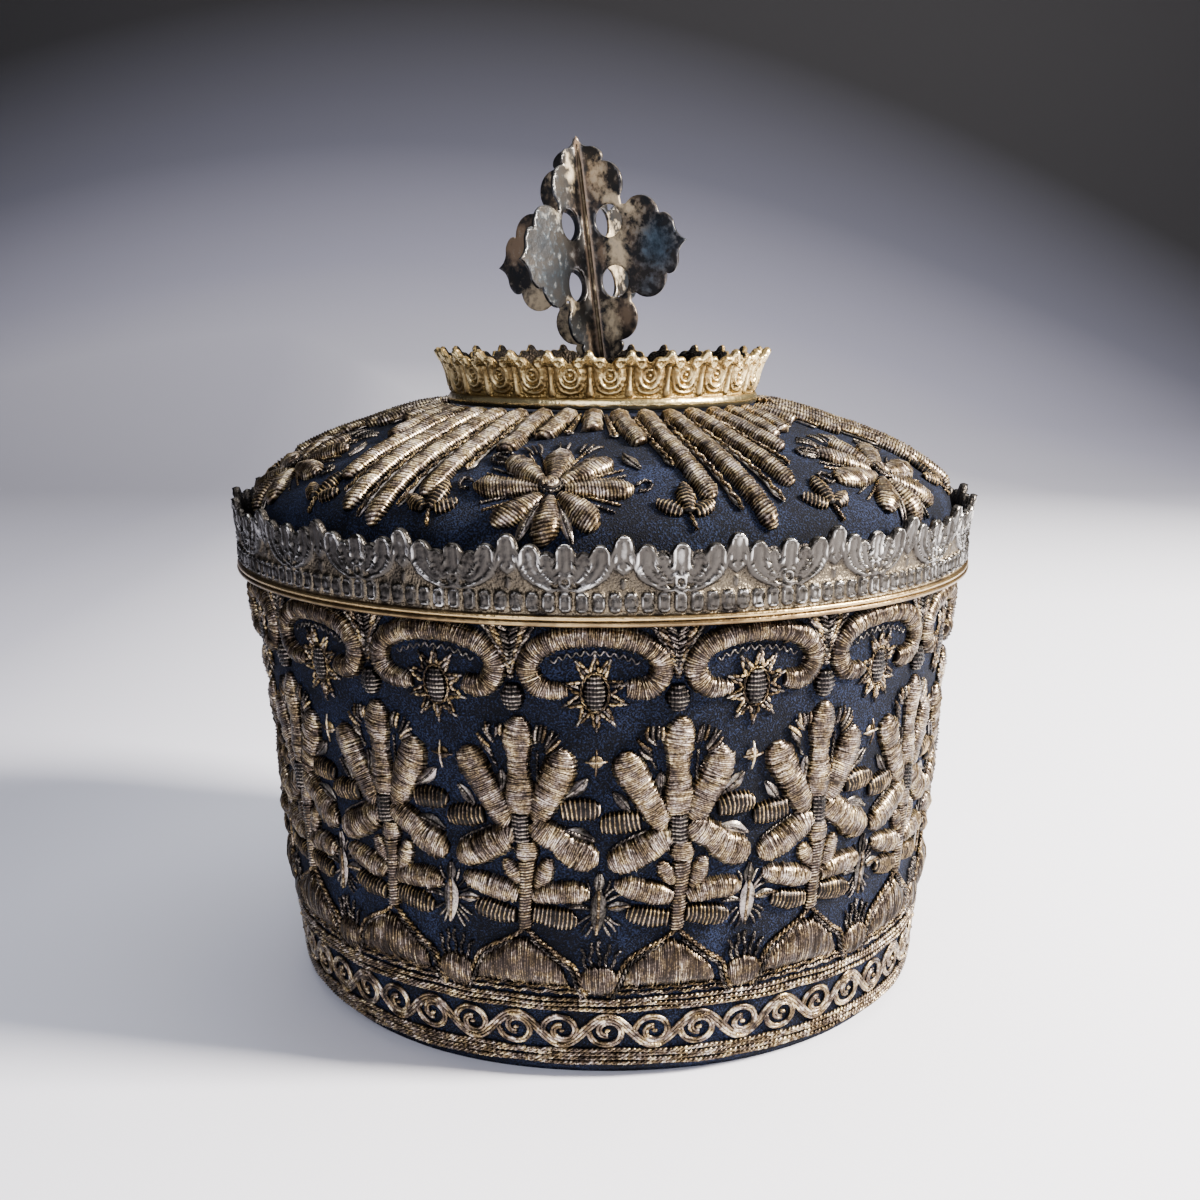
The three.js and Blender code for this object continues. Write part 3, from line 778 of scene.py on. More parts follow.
class Needle:
    """Works metal thread, purl, cord and plate into one piece of embroidery."""

    FINISHES = (GOLD, STRIPE, SHADE_PADDING, PURL, GILT_PURL, PLATE)
    # How far a pad's threads stand off the cloth, and how far ahead and behind a direction is taken.
    BASE = 0.15
    NEAR = 0.4

    def __init__(self, cap: SoftCap, name: str, seed: int) -> None:
        """Starts a piece of embroidery.

        Args:
            cap: the cloth it is sewn to.
            name: the piece's name.
            seed: what its small irregularities are drawn from.
        """
        self.cap = cap
        self.piece = Piece(name, self.FINISHES)
        self.spot = Spot(cap, 0.0, 0.0)
        self.chance = np.random.default_rng(seed)

    def route(self, rows: Rows | Array, steps: int = 8) -> tuple[Array, Array, Array]:
        """Smooths a flat route and wraps it.

        Args:
            rows: x, y and more for each point.
            steps: how many steps each stretch is cut into.

        Returns:
            Azimuths, arc lengths and the columns that follow x and y.
        """
        curve = smooth(np.array(rows, float), steps)
        azimuth, arc = self.spot.wrap(curve)
        return azimuth, arc, curve[:, 2:]

    def measured(self, azimuth: Array, arc: Array) -> Array:
        """The length along a route at each of its points."""
        points = self.cap.lay(azimuth, arc, 0.0)
        return np.concatenate([[0], np.cumsum(np.linalg.norm(np.diff(points, axis=0), axis=1))])

    def across(self, azimuth: Array, arc: Array, length: Array, at: Array) -> tuple[Array, ...]:
        """Finds places along a route, and its direction there.

        Args:
            azimuth: the route's azimuths.
            arc: its arc lengths from the apex.
            length: its own length at each point.
            at: the lengths asked for.

        Returns:
            Azimuths and arc lengths of the places, and unit steps along the route: round and down the cloth.
        """
        ahead, behind = (np.clip(at + near, 0, length[-1]) for near in (self.NEAR, -self.NEAR))
        turn, next_turn, last_turn = (np.interp(place, length, azimuth) for place in (at, ahead, behind))
        down, next_down, last_down = (np.interp(place, length, arc) for place in (at, ahead, behind))
        right = np.radians(next_turn - last_turn) * self.cap.radius(down)
        step = unit(np.stack([right, next_down - last_down], -1))
        return turn, down, step[..., 0], step[..., 1]

    def lifted(self, turn: Array, down: Array, lift: Array) -> tuple[Array, Array]:
        """Points lifted off the cloth, and the directions away from it there."""
        points = self.cap.lay(turn, down, lift)
        return points, unit(self.cap.lay(turn, down, lift + 1.0) - points)

    def satin(self, rows: Rows | Array, height: float, stitch: Stitch) -> None:
        """Lays threads side by side over a pad, square to a route, as one closed ribbed sheet.

        Every other row of the sheet is a thread's crest and the rows between are the grooves. A row is an
        arch: at share t of its half width it stands height * sqrt(1 - t * t) off the cloth, and lower where
        the pad is narrow, so that a lobe closes to a round tip. A crest stands higher than a groove by the
        stitch's relief and reaches farther out by its overhang. The tone paints light into the colour:
        painted shade in the grooves, painted highlight at the ends of a crest and painted glints along it.

        Args:
            rows: the route, as x, y and half width.
            height: the pad's greatest height.
            stitch: the threads.
        """
        azimuth, arc, rest = self.route(rows)
        half = np.maximum(rest[:, 0], 0.2)
        length = self.measured(azimuth, arc)
        count = max(3, int(length[-1] / stitch.pitch))
        rank = np.arange(2 * count + 1)
        crest = (rank % 2)[:, None].astype(float)
        at = rank * length[-1] / (2 * count)
        at[1::2] += self.chance.normal(0, stitch.stray * stitch.pitch, count)
        turn, down, along_x, along_y = self.across(azimuth, arc, length, at)
        if stitch.upright:
            along_x, along_y = np.sign(along_x), np.zeros(len(rank))
        reach = np.interp(at, length, half)
        stand = height * np.clip(reach / half.max(), 0.05, 1) ** 0.6
        angle = np.linspace(-np.pi / 2, np.pi / 2, stitch.spans + 1)
        t, lift = np.sin(angle)[None, :], np.cos(angle)[None, :]
        stray_ends = self.chance.normal(stitch.overhang, stitch.ragged, (len(rank), 2)) * crest
        wide = reach[:, None] + np.where(t < 0, stray_ends[:, :1], stray_ends[:, 1:])
        lean = np.interp(rank, rank[1::2], self.chance.normal(stitch.slant, stitch.sway, count))[:, None]
        slip = lean * reach[:, None] * t + stitch.bow * (1 - t * t)
        right = wide * t * -along_y[:, None] + slip * along_x[:, None]
        below = wide * t * along_x[:, None] + slip * along_y[:, None]
        where_down = down[:, None] + below
        where_turn = turn[:, None] + np.degrees(right / self.cap.radius(where_down))
        uneven = 1 + self.chance.normal(0, stitch.uneven, (len(rank), 1)) * crest
        level = self.BASE + lift * (stand[:, None] + stitch.relief * crest) * uneven
        points = self.cap.lay(where_turn, where_down, level)
        columns = stitch.spans + 1
        index = np.arange(len(rank) * columns).reshape(-1, columns)
        faces = [sheet_faces(len(rank), columns, wrap_columns=True), index[:1, ::-1], index[-1:]]
        # Painted light in the tone: random painted glints along each crest, painted highlight at its ends and
        # painted shade in the grooves.
        glint = self.chance.uniform(0, 1, (len(rank), 1)) * (1 - stitch.glitter)
        glint = glint + self.chance.uniform(0, 1, level.shape) * stitch.glitter
        ends = np.clip(np.abs(t) - 0.6, 0, 1) * stitch.end_highlight
        tone = crest * (stitch.dull + (1 - stitch.dull) * glint + ends) + (1 - crest) * stitch.groove
        self.piece.add(points.reshape(-1, 3), faces, stitch.finish, tone.reshape(-1), (wide * t).reshape(-1))

    def cord(
        self,
        rows: Rows | Array | tuple[Array, Array],
        radius: float,
        finish: Finish,
        strands: int = 2,
        twist: float = 3.6,
        lift: float | None = None,
        steps: int = 5,
        closed: bool = False,
        flat: bool = True,
    ) -> None:
        """Couches a twisted cord along a route.

        Strand k winds round the route: at length s it stands at phase 2 pi (s / twist + k / strands),
        half a cord's radius from the middle.

        Args:
            rows: the route, as x and y for each point.
            radius: the cord's radius.
            finish: its material.
            strands: how many strands are twisted together; a single one is laid straight.
            twist: the length of one full turn.
            lift: how high the cord's middle runs; by default it lies on the cloth.
            steps: how many stations each turn has.
            closed: whether the cord ends where it starts.
            flat: whether the route is laid out flat; if not, rows are its azimuths and its arc lengths.
        """
        azimuth, arc = self.route(rows)[:2] if flat else rows
        length = self.measured(azimuth, arc)
        pieces = max(3, int(length[-1] * steps / twist))
        if closed:
            pieces = max(1, round(length[-1] / twist)) * steps
            at = np.arange(pieces) * length[-1] / pieces
            twist = length[-1] / (pieces // steps)
        else:
            at = np.linspace(0, length[-1], pieces)
        turn, down, along_x, along_y = self.across(azimuth, arc, length, at)
        middle = radius if lift is None else lift
        if strands > 1:
            phase = 2 * np.pi * (at[None] / twist + np.arange(strands)[:, None] / strands)
            off, thick = radius * 0.5 * np.cos(phase), radius * 0.56
            level = middle + radius * 0.5 * np.sin(phase)
        else:
            off, thick, level = np.zeros((1, len(at))), radius, np.full((1, len(at)), middle)
        right, below = -along_y[None] * off, along_x[None] * off
        where = down[None] + below
        paths, ups = self.lifted(turn[None] + np.degrees(right / self.cap.radius(where)), where, level)
        sides = 3 if strands > 1 else 5
        points, faces = tubes(paths, ups, thick, thick, sides, closed)
        tone = np.repeat(self.chance.random((strands, len(at))).cumsum(1) * 0.37 % 1, sides) * 0.9 - 0.1
        self.piece.add(points, faces, finish, tone, np.tile(np.repeat(at, sides), strands))

    def chips(self, rows: Rows | Array, radius: float, finish: Finish, lift: float = 0.0) -> None:
        """Sews down short cut lengths of purl, each a little arched between its ends.

        Args:
            rows: one row for each chip: x and y of its start and of its end.
            radius: the purl's radius.
            finish: its material.
            lift: how far under the chips the cloth or the work below them lies.
        """
        ends = np.array(rows, float)
        ends = ends + self.chance.normal(0, 0.15, ends.shape)
        share = np.array([0.0, 0.33, 0.67, 1.0])[None, :, None]
        bend = np.array([0.0, 1.0, 1.0, 0.0])[None, :, None] * self.chance.normal(0, 0.18, (len(ends), 1, 1))
        step = ends[:, None, 2:] - ends[:, None, :2]
        flat = ends[:, None, :2] + step * share + bend * np.stack([-step[..., 1], step[..., 0]], -1) * 0.3
        turn, down = self.spot.wrap(flat)
        arch = np.array([0.55, 1.25, 1.25, 0.55])[None, :] * radius
        paths, ups = self.lifted(turn, down, lift + arch * np.ones((len(ends), 1)))
        taper = np.array([0.7, 1.0, 1.0, 0.7])[None, :] * radius
        sides = 4
        points, faces = tubes(paths, ups, taper, taper, sides)
        tone = np.repeat(self.chance.random(len(ends)), 4 * sides)
        run = np.repeat(np.linalg.norm(step, axis=-1) * share[..., 0], sides)
        self.piece.add(points, faces, finish, tone, run)

    def leaf(self, rows: Rows, finish: Finish, lift: float = 0.5, rib: Finish | None = None) -> None:
        """Sews on a thin leaf of plate, with a length of purl along its middle if it has a rib.

        Args:
            rows: the leaf's middle line, as x, y and half width.
            finish: its material.
            lift: how high it lies.
            rib: the purl's material.
        """
        azimuth, arc, rest = self.route(rows, 4)
        paths, ups = self.lifted(azimuth[None], arc[None], np.full((1, len(azimuth)), lift))
        points, faces = tubes(paths, ups, np.maximum(rest[:, 0], 0.15), 0.28, 6)
        self.piece.add(points, faces, finish, self.chance.random())
        if rib:
            self.cord((azimuth, arc), 0.42, rib, strands=1, twist=2.4, lift=lift + 0.45, flat=False)

    def build(self, replaces: tuple[str, ...]) -> None:
        """Makes the piece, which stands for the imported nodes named."""
        self.piece.build(replaces, "gold_embroidery")


# Real metal thread is 0.2 to 0.3 mm across. It is drawn two to four times as coarse, so that single threads
# show. Threads laid flat side by side, in leaves and pads:
SATIN = Stitch(GOLD, pitch=0.52, relief=0.17, sway=0.1, uneven=0.06)
CURVED_SATIN = Stitch(
    GOLD, pitch=0.55, relief=0.22, sway=0.1, uneven=0.06, dull=-0.15, end_highlight=1.2, groove=-0.6
)
UPRIGHT_SATIN = Stitch(
    GOLD, 0.52, 0.15, 6, ragged=0.35, sway=0.05, uneven=0.06, dull=-0.4, end_highlight=0.3, groove=-0.7,
    upright=True,
)
# Slanting bundles of thread, each with a groove beside it, on ribs, petals and stems:
RIBBED = Stitch(GOLD, pitch=0.95, relief=0.42, slant=0.3, bow=0.35, overhang=0.3, dull=0.45, groove=-0.35)
PETAL = Stitch(GOLD, pitch=0.85, relief=0.36, slant=0.25, bow=0.35, overhang=0.28, dull=0.3, groove=-0.4)
STEM = Stitch(GOLD, pitch=0.85, relief=0.4, slant=0.25, groove=-0.9)
# Hard round turns with dark gaps of painted shade, which read as stripes:
STRIPED = Stitch(
    STRIPE, pitch=1.1, relief=0.75, bow=0.3, stray=0.05, overhang=0.4, dull=0.6, end_highlight=0.0, groove=-1.4
)
WRAPPED = Stitch(
    PURL, pitch=1.1, relief=0.6, stray=0.04, overhang=0.35, ragged=0.05, dull=0.6, end_highlight=0.0, groove=-1
)


@dataclass
class RepeatedWork:
    """A piece of embroidery worked again and again round the cap, each time with its own irregularities."""

    piece: str
    node: str
    seed: int
    count: int
    first_azimuth: float
    offset: float = 0.0

    def build(self, cap: SoftCap) -> None:
        """Works every piece on the cap."""
        for k in range(self.count):
            needle = Needle(cap, self.piece.format(k + 1), self.seed + k)
            self.work(needle, self.first_azimuth + (k + self.offset) * 360 / self.count, k)
            needle.build((self.node.format(k + 1),))

    def work(self, needle: Needle, azimuth: float, number: int) -> None:
        """Works one piece.

        Args:
            needle: what works it.
            azimuth: where its middle lies.
            number: its number, from 0.
        """
        raise NotImplementedError


@dataclass
class TreeWork(RepeatedWork):
    """A padded tree on a mound, x from its stem and y from the top of its collar."""

    piece: str = "tree_work_{:02d}"
    node: str = "tree_{:02d}"
    seed: int = 100
    count: int = 16
    first_azimuth: float = -0.8
    offset: float = 0.5
    height: float = 78.0
    pad: float = 2.7
    small_pad: float = 2.0
    lobes: tuple[Rows, ...] = (
        ((0, 1, 2.6), (0, 4, 4.1), (0, 8, 4.2), (-0.2, 12.5, 3.1), (-0.2, 16.5, 3.1), (-0.2, 21.5, 4.3))
        + ((0.2, 25, 3.9), (0.4, 27.6, 2.2), (0.5, 28.7, 0.6)),
        ((-3, -1.5, 1.8), (-4.5, -0.5, 3.4), (-7.5, 4.5, 3.9), (-10.5, 9.5, 4.1), (-12.8, 14, 4.6))
        + ((-14, 17, 3.9), (-14.4, 18.6, 2), (-14.6, 19.3, 0.6)),
        ((3.5, -0.5, 1.8), (5, 1.5, 3.4), (7, 6, 4.2), (9.3, 10.5, 4.6), (10.8, 14.5, 4.6))
        + ((11.5, 17.5, 3.6), (11.8, 19, 2), (11.9, 19.9, 0.6)),
        ((-1.5, -6, 2), (-3.5, -5.5, 3.6), (-8, -8, 4.1), (-12, -10.3, 4.2), (-15.5, -11.7, 4))
        + ((-17.8, -12.6, 2.6), (-18.7, -12.9, 0.8)),
        ((3, -1, 2), (5, -3, 3.8), (9, -5.5, 4), (12, -7.5, 3.4)),
        ((9, -6.5, 2.5), (12, -8.6, 4.2), (16.5, -10.6, 4.6), (19, -11.4, 3), (20.3, -11.8, 0.9)),
        ((-1.5, -22.5, 2), (-5, -21.5, 3.3), (-10, -20.2, 3.2), (-14.5, -19, 2.6))
        + ((-16.6, -18.4, 1.2), (-17.1, -18.3, 0.5)),
        ((2.5, -22.5, 2), (6, -21.5, 3), (11, -21, 3.2), (15, -21, 3), (17.2, -21.3, 1.6))
        + ((17.8, -21.4, 0.5),),
    )
    buds: tuple[Rows, ...] = (
        ((-1, -18.5, 1.2), (-3, -15.5, 2.4), (-4.3, -13, 1.6), (-4.6, -12, 0.4)),
        ((4, -20, 1.4), (5.5, -16.5, 2.5), (6.8, -12.5, 1.8), (7.2, -11.2, 0.5)),
        ((1.2, -6.6, 2.4), (1.2, -9.5, 3.4), (1.3, -12.4, 2.4)),
    )
    striped: tuple[Rows, ...] = (
        ((-2.2, -28.8, 2), (-7, -28.2, 2.8), (-12, -27, 2.4), (-13.9, -26.6, 0.8)),
        ((2, -27.5, 2.2), (7, -28.3, 3), (12, -29, 2.8), (14.2, -29.3, 1)),
        ((-10, 0, 2.4), (-15, -0.8, 3.1), (-19.5, -1.2, 2.6), (-20.8, -1.3, 0.8)),
        ((10.5, 2.2, 2.4), (15, 2.8, 3.1), (19.5, 2.8, 2.6), (21.2, 2.6, 0.8)),
    )
    collar: Rows = ((0, 1.5, 2.5), (0, -2, 2.6), (0.1, -6.5, 2.5))
    stem: Rows = ((1.2, -12, 2.6), (1, -17, 2.2), (0.5, -23, 2), (0.2, -28, 2), (0, -32, 1.8))
    mound: Rows = (
        (-14.5, -48.2, 0.4), (-13, -46.1, 2.6), (-11, -44.8, 3.9), (-7.5, -43.5, 5.2), (-4, -42.3, 6.4),
        (-1.8, -41.9, 6.8), (1, -42.4, 6.3), (4, -43.5, 5.2), (8, -45.3, 3.4), (10, -46.8, 1.9),
        (10.9, -48.2, 0.4),
    )
    mound_cords: tuple[Rows, ...] = (
        ((-0.4, -32.4), (-4.6, -35.4), (-9.5, -38), (-13.5, -41), (-15.5, -45), (-17.5, -50), (-18.5, -52)),
        ((0.4, -32.4), (2.6, -34.4), (5.5, -37), (9.5, -40.5), (13, -43), (14.5, -48), (16, -52)),
    )
    cord_gap: float = 1.5
    ball: Rows = (
        (14.2, -47.2, 0.4), (15.2, -47.2, 2.8), (17, -47.2, 4.1), (19.5, -47.2, 4.6), (22, -47.2, 4.1),
        (23.8, -47.2, 2.8), (24.8, -47.2, 0.4),
    )
    blades: tuple[Rows, ...] = (
        ((16.2, -43.4), (15.4, -41.2), (15.9, -39.4), (14.9, -37.4)),
        ((17.8, -42.8), (17.2, -40.2), (17.9, -38), (17.5, -35.8)),
        ((19.6, -42.6), (19.9, -39.8), (19.3, -37.4), (19.9, -35)),
        ((21.4, -42.8), (21.4, -40), (22.4, -38), (22.6, -36)),
        ((22.8, -43.4), (23.8, -41.2), (24, -39.6), (25.4, -38)),
    )
    purl_lines: tuple[Rows, ...] = (
        ((-18, -8.5), (-14.5, -6), (-8.5, -3)),
        ((-8.5, 19), (-7.4, 16.4), (-6, 14)),
        ((5, 7), (4.8, 13), (5, 19)),
    )
    spray_left: Rows = (
        (-7, 17, -10, 20), (-7.5, 19.5, -11.3, 23), (-6.5, 21, -9.5, 24.5), (-7.2, 18.2, -10.6, 21.6),
        (-8, 22, -8.4, 26), (-6.9, 22.2, -7.1, 26.2), (-5.7, 22.4, -5.8, 26.2), (-4.7, 22.8, -4.5, 26),
    )
    spray_right: Rows = (
        (4.5, 21, 5.5, 26), (5.4, 21.4, 6.4, 26.2), (6.5, 21.5, 7.5, 26), (7, 20, 9.5, 25), (7, 19, 11, 24),
        (7.3, 18.6, 11.4, 22.2), (7.5, 18, 11.5, 20.5),
    )
    sequins: tuple[Rows, ...] = (
        ((11.5, -3, 0.5), (15.5, -4.2, 2.4), (19.5, -5.8, 0.5)),
        ((-17.5, 8, 0.4), (-15, 5, 1.8), (-13, 2.5, 0.5)),
        ((-5, 13.5, 0.3), (-4.8, 10.5, 2), (-5.2, 7, 0.3)),
        ((11.5, 6, 0.4), (15.5, 9, 2.1), (18, 11.7, 0.4)),
    )
    base: float = -50.9
    base_span: tuple[float, float] = (-18.0, 21.0)

    def work(self, needle: Needle, azimuth: float, number: int) -> None:
        """Works one tree: striped leaves, then pads, cords, chips and leaves of plate."""
        needle.spot = Spot(needle.cap, azimuth, needle.cap.at_height(self.height))
        for rows in self.striped:
            needle.satin(rows, self.small_pad * 0.8, STRIPED)
        for rows in self.lobes[1:] + self.lobes[:1]:
            needle.satin(rows, self.pad, SATIN)
        for rows in self.buds:
            needle.satin(rows, self.small_pad, SATIN)
        needle.satin(self.stem, self.small_pad, STEM)
        needle.satin(self.collar, self.pad, WRAPPED)
        needle.satin(self.mound, self.pad, UPRIGHT_SATIN)
        needle.satin(self.ball, self.small_pad, UPRIGHT_SATIN)
        for side, rows in zip((1, -1), self.mound_cords):
            outer = tuple((x + side * self.cord_gap * 0.8, y - self.cord_gap * 0.4) for x, y in rows[1:])
            needle.cord(rows, 0.8, GILT_PURL, twist=3.2)
            needle.cord(outer, 0.8, PURL, twist=3.2)
        for rows in self.blades:
            needle.cord(rows, 0.6, PURL, twist=2.4)
        for rows in self.purl_lines:
            needle.cord(rows, 0.5, PURL, twist=2.4)
        for i, row in enumerate(self.spray_left + self.spray_right):
            needle.chips((row,), 0.6, GILT_PURL if i % 3 == 1 else PURL, 0.35)
        for rows in self.sequins:
            needle.leaf(rows, PLATE, rib=PURL)
        wave = np.linspace(*self.base_span, 27)
        for rise, finish in ((0.0, GOLD), (self.cord_gap, GILT_PURL)):
            y = self.base + rise + 0.3 * np.cos(wave * 1.1 + rise)
            needle.cord(np.stack([wave, y], 1), 0.6, finish, twist=2.6)


@dataclass
class ArchWork(RepeatedWork):
    """The arcade under the silver band: an arch, a knob, a star, a small cross and a low flower-star.

    x is from the arch's middle and y from the height of its top.
    """

    piece: str = "arch_work_{:02d}"
    node: str = "arch_{:02d}"
    seed: int = 200
    count: int = 16
    first_azimuth: float = -1.2
    height: float = 127.0
    pad: float = 2.7
    arch: Rows = (
        (-6.9, -13.2, 1.4), (-9, -13.3, 2.2), (-12, -13.2, 2.6), (-15.3, -11.6, 3), (-17.2, -8, 3.1),
        (-16.6, -4.3, 3), (-13, -1, 2.9), (-7.5, 0.9, 2.9), (0, 1.6, 2.9), (7.5, 0.9, 2.9), (13, -1, 2.9),
        (16.6, -4.3, 3), (17.2, -8, 3.1), (15.3, -11.6, 3), (12.5, -12.8, 3), (9.5, -12.6, 2.8),
        (8, -12.4, 1.6),
    )
    knob_x: float = 21.4
    knob: Rows = ((0, -11.5, 1.5), (0, -15.2, 3.3), (0, -18.9, 1.5))
    star: Rows = ((0, -8.9, 1.5), (0, -13.7, 3.1), (0, -18.5, 1.5))
    star_middle: tuple[float, float] = (0.0, -13.7)
    star_ring: tuple[float, float] = (3.6, 5.3)
    ray_foot: tuple[float, float] = (4.1, 5.9)
    ray_tip: tuple[float, float] = (9.2, 11.2)
    rays: int = 10
    picots: Rows = ((-11.4, -4.9), (-7, -3.2), (-2.4, -2.3), (2.6, -2.4), (7.4, -3.4), (11.6, -5.2))
    picot_depth: float = 1.3
    cross_y: float = -33.0
    cross_reach: tuple[float, float] = (3.0, 3.9)
    flower_y: float = -75.0
    spandrel: tuple[float, float] = (4.4, -8.5)
    spandrel_half: tuple[float, float] = (0.7, 8.6)
    spandrel_rows: int = 12

    def work(self, needle: Needle, azimuth: float, number: int) -> None:
        """Works one bay of the arcade."""
        needle.spot = Spot(needle.cap, azimuth, needle.cap.at_height(self.height))
        needle.satin(self.arch, self.pad, CURVED_SATIN)
        needle.satin(tuple((x + self.knob_x, y, half) for x, y, half in self.knob), 2.4, WRAPPED)
        inner = np.array(self.picots)
        points = np.linspace(0, len(inner) - 1, 4 * len(inner) - 3)
        x, y = (np.interp(points, np.arange(len(inner)), inner[:, i]) for i in (0, 1))
        zigzag = np.where(np.arange(len(x)) % 2 == 0, 0.0, -self.picot_depth)
        needle.cord(np.stack([x, y + zigzag], 1), 0.24, PLATE, 1, 4.0, lift=0.5, steps=8)
        self.work_star(needle)
        self.work_spandrel(needle)
        self.work_cross(needle)
        self.work_flower(needle)

    def work_star(self, needle: Needle) -> None:
        """Works an oval of laid purl in a cord, with rays of short chips that meet in points."""
        needle.satin(self.star, 1.3, WRAPPED)
        needle.cord(self.star_middle + oval(self.star_ring, np.linspace(0, 2 * np.pi, 25)), 0.5, GILT_PURL)
        turn = (np.arange(self.rays) + 0.5) * 2 * np.pi / self.rays + needle.chance.normal(0, 0.08, self.rays)
        tip = self.star_middle + oval(self.ray_tip, turn)
        for side, finish in ((-0.27, GILT_PURL), (0.0, PURL), (0.27, GILT_PURL)):
            foot = self.star_middle + oval(self.ray_foot, turn + side)
            reach = 0.95 - abs(side)
            middle = foot + (tip - foot) * reach * 0.5
            needle.chips(np.hstack([foot, middle]), 0.52, finish, 0.1)
            needle.chips(np.hstack([middle, foot + (tip - foot) * reach]), 0.48, finish, 0.1)

    def work_spandrel(self, needle: Needle) -> None:
        """Works chevrons of chips on the three-cornered ground between two arches."""
        (top, low), (tip, wide) = self.spandrel, self.spandrel_half
        y = np.linspace(top, low, self.spandrel_rows)
        room = tip + wide * np.clip((y - low) / (top - low), 0, 1) ** 1.3
        for side in (-1, 1):
            for share in (0.18, 0.5, 0.82):
                x = self.knob_x + side * room * share
                lean = 0.45 + 0.35 * share
                reach = np.clip(room * 0.24, 0.6, 1.6)
                step = np.stack([side * reach * np.cos(lean), reach * np.sin(lean)], 1)
                middle = np.stack([x, y - 1.6 + 1.6 * share * 2], 1)
                finish = GILT_PURL if share == 0.5 else PURL
                needle.chips(np.hstack([middle - step, middle + step]), 0.55, finish, 0.2)

    def work_cross(self, needle: Needle) -> None:
        """Lays two fine crossed stitches over a round spangle with the needle."""
        y = self.cross_y
        x_reach, y_reach = self.cross_reach
        spangle = ((-1.8, y, 0.3), (-1.3, y, 1.4), (0, y, 2), (1.3, y, 1.4), (1.8, y, 0.3))
        needle.leaf(spangle, GILT_PURL, 0.25)
        needle.chips(((-x_reach, y, x_reach, y), (0, y - y_reach, 0, y + y_reach)), 0.42, GOLD, 0.5)

    def work_flower(self, needle: Needle) -> None:
        """Works an upright spindle of silver leaves with small leaves and rays to its sides."""
        y = self.flower_y
        spindle = ((0.3, y + 6, 0.5), (0.2, y + 2, 2.4), (-0.2, y - 3, 2), (-0.6, y - 7, 0.4))
        needle.leaf(((0.6, y + 11, 0.3), (0.4, y + 8, 1.7), (0, y + 5, 0.6)), PLATE, rib=PURL)
        needle.leaf(spindle, PLATE, 0.7, rib=GILT_PURL)
        needle.leaf(((2.5, y + 0.6, 0.5), (5.4, y + 1, 1.7), (8.6, y + 1.2, 0.3)), PLATE, rib=GILT_PURL)
        needle.leaf(((-2.2, y + 0.4, 0.4), (-4.8, y + 0.8, 1.0), (-7.6, y + 0.6, 0.3)), PLATE, rib=PURL)
        for side in (-1, 1):
            low = ((side * 1.8, y - 3, side * 4.6, y - 6.6), (side * 2.2, y - 2, side * 5.8, y - 4.4))
            low += ((side * 1.2, y - 4, side * 3.2, y - 8),)
            high = ((side * 1.8, y + 3.2, side * 4.6, y + 6.6), (side * 2.2, y + 2.4, side * 5.6, y + 4.2))
            high += ((side * 1.6, y + 5, side * 3, y + 8.6),)
            needle.chips(low + high, 0.44, PURL)


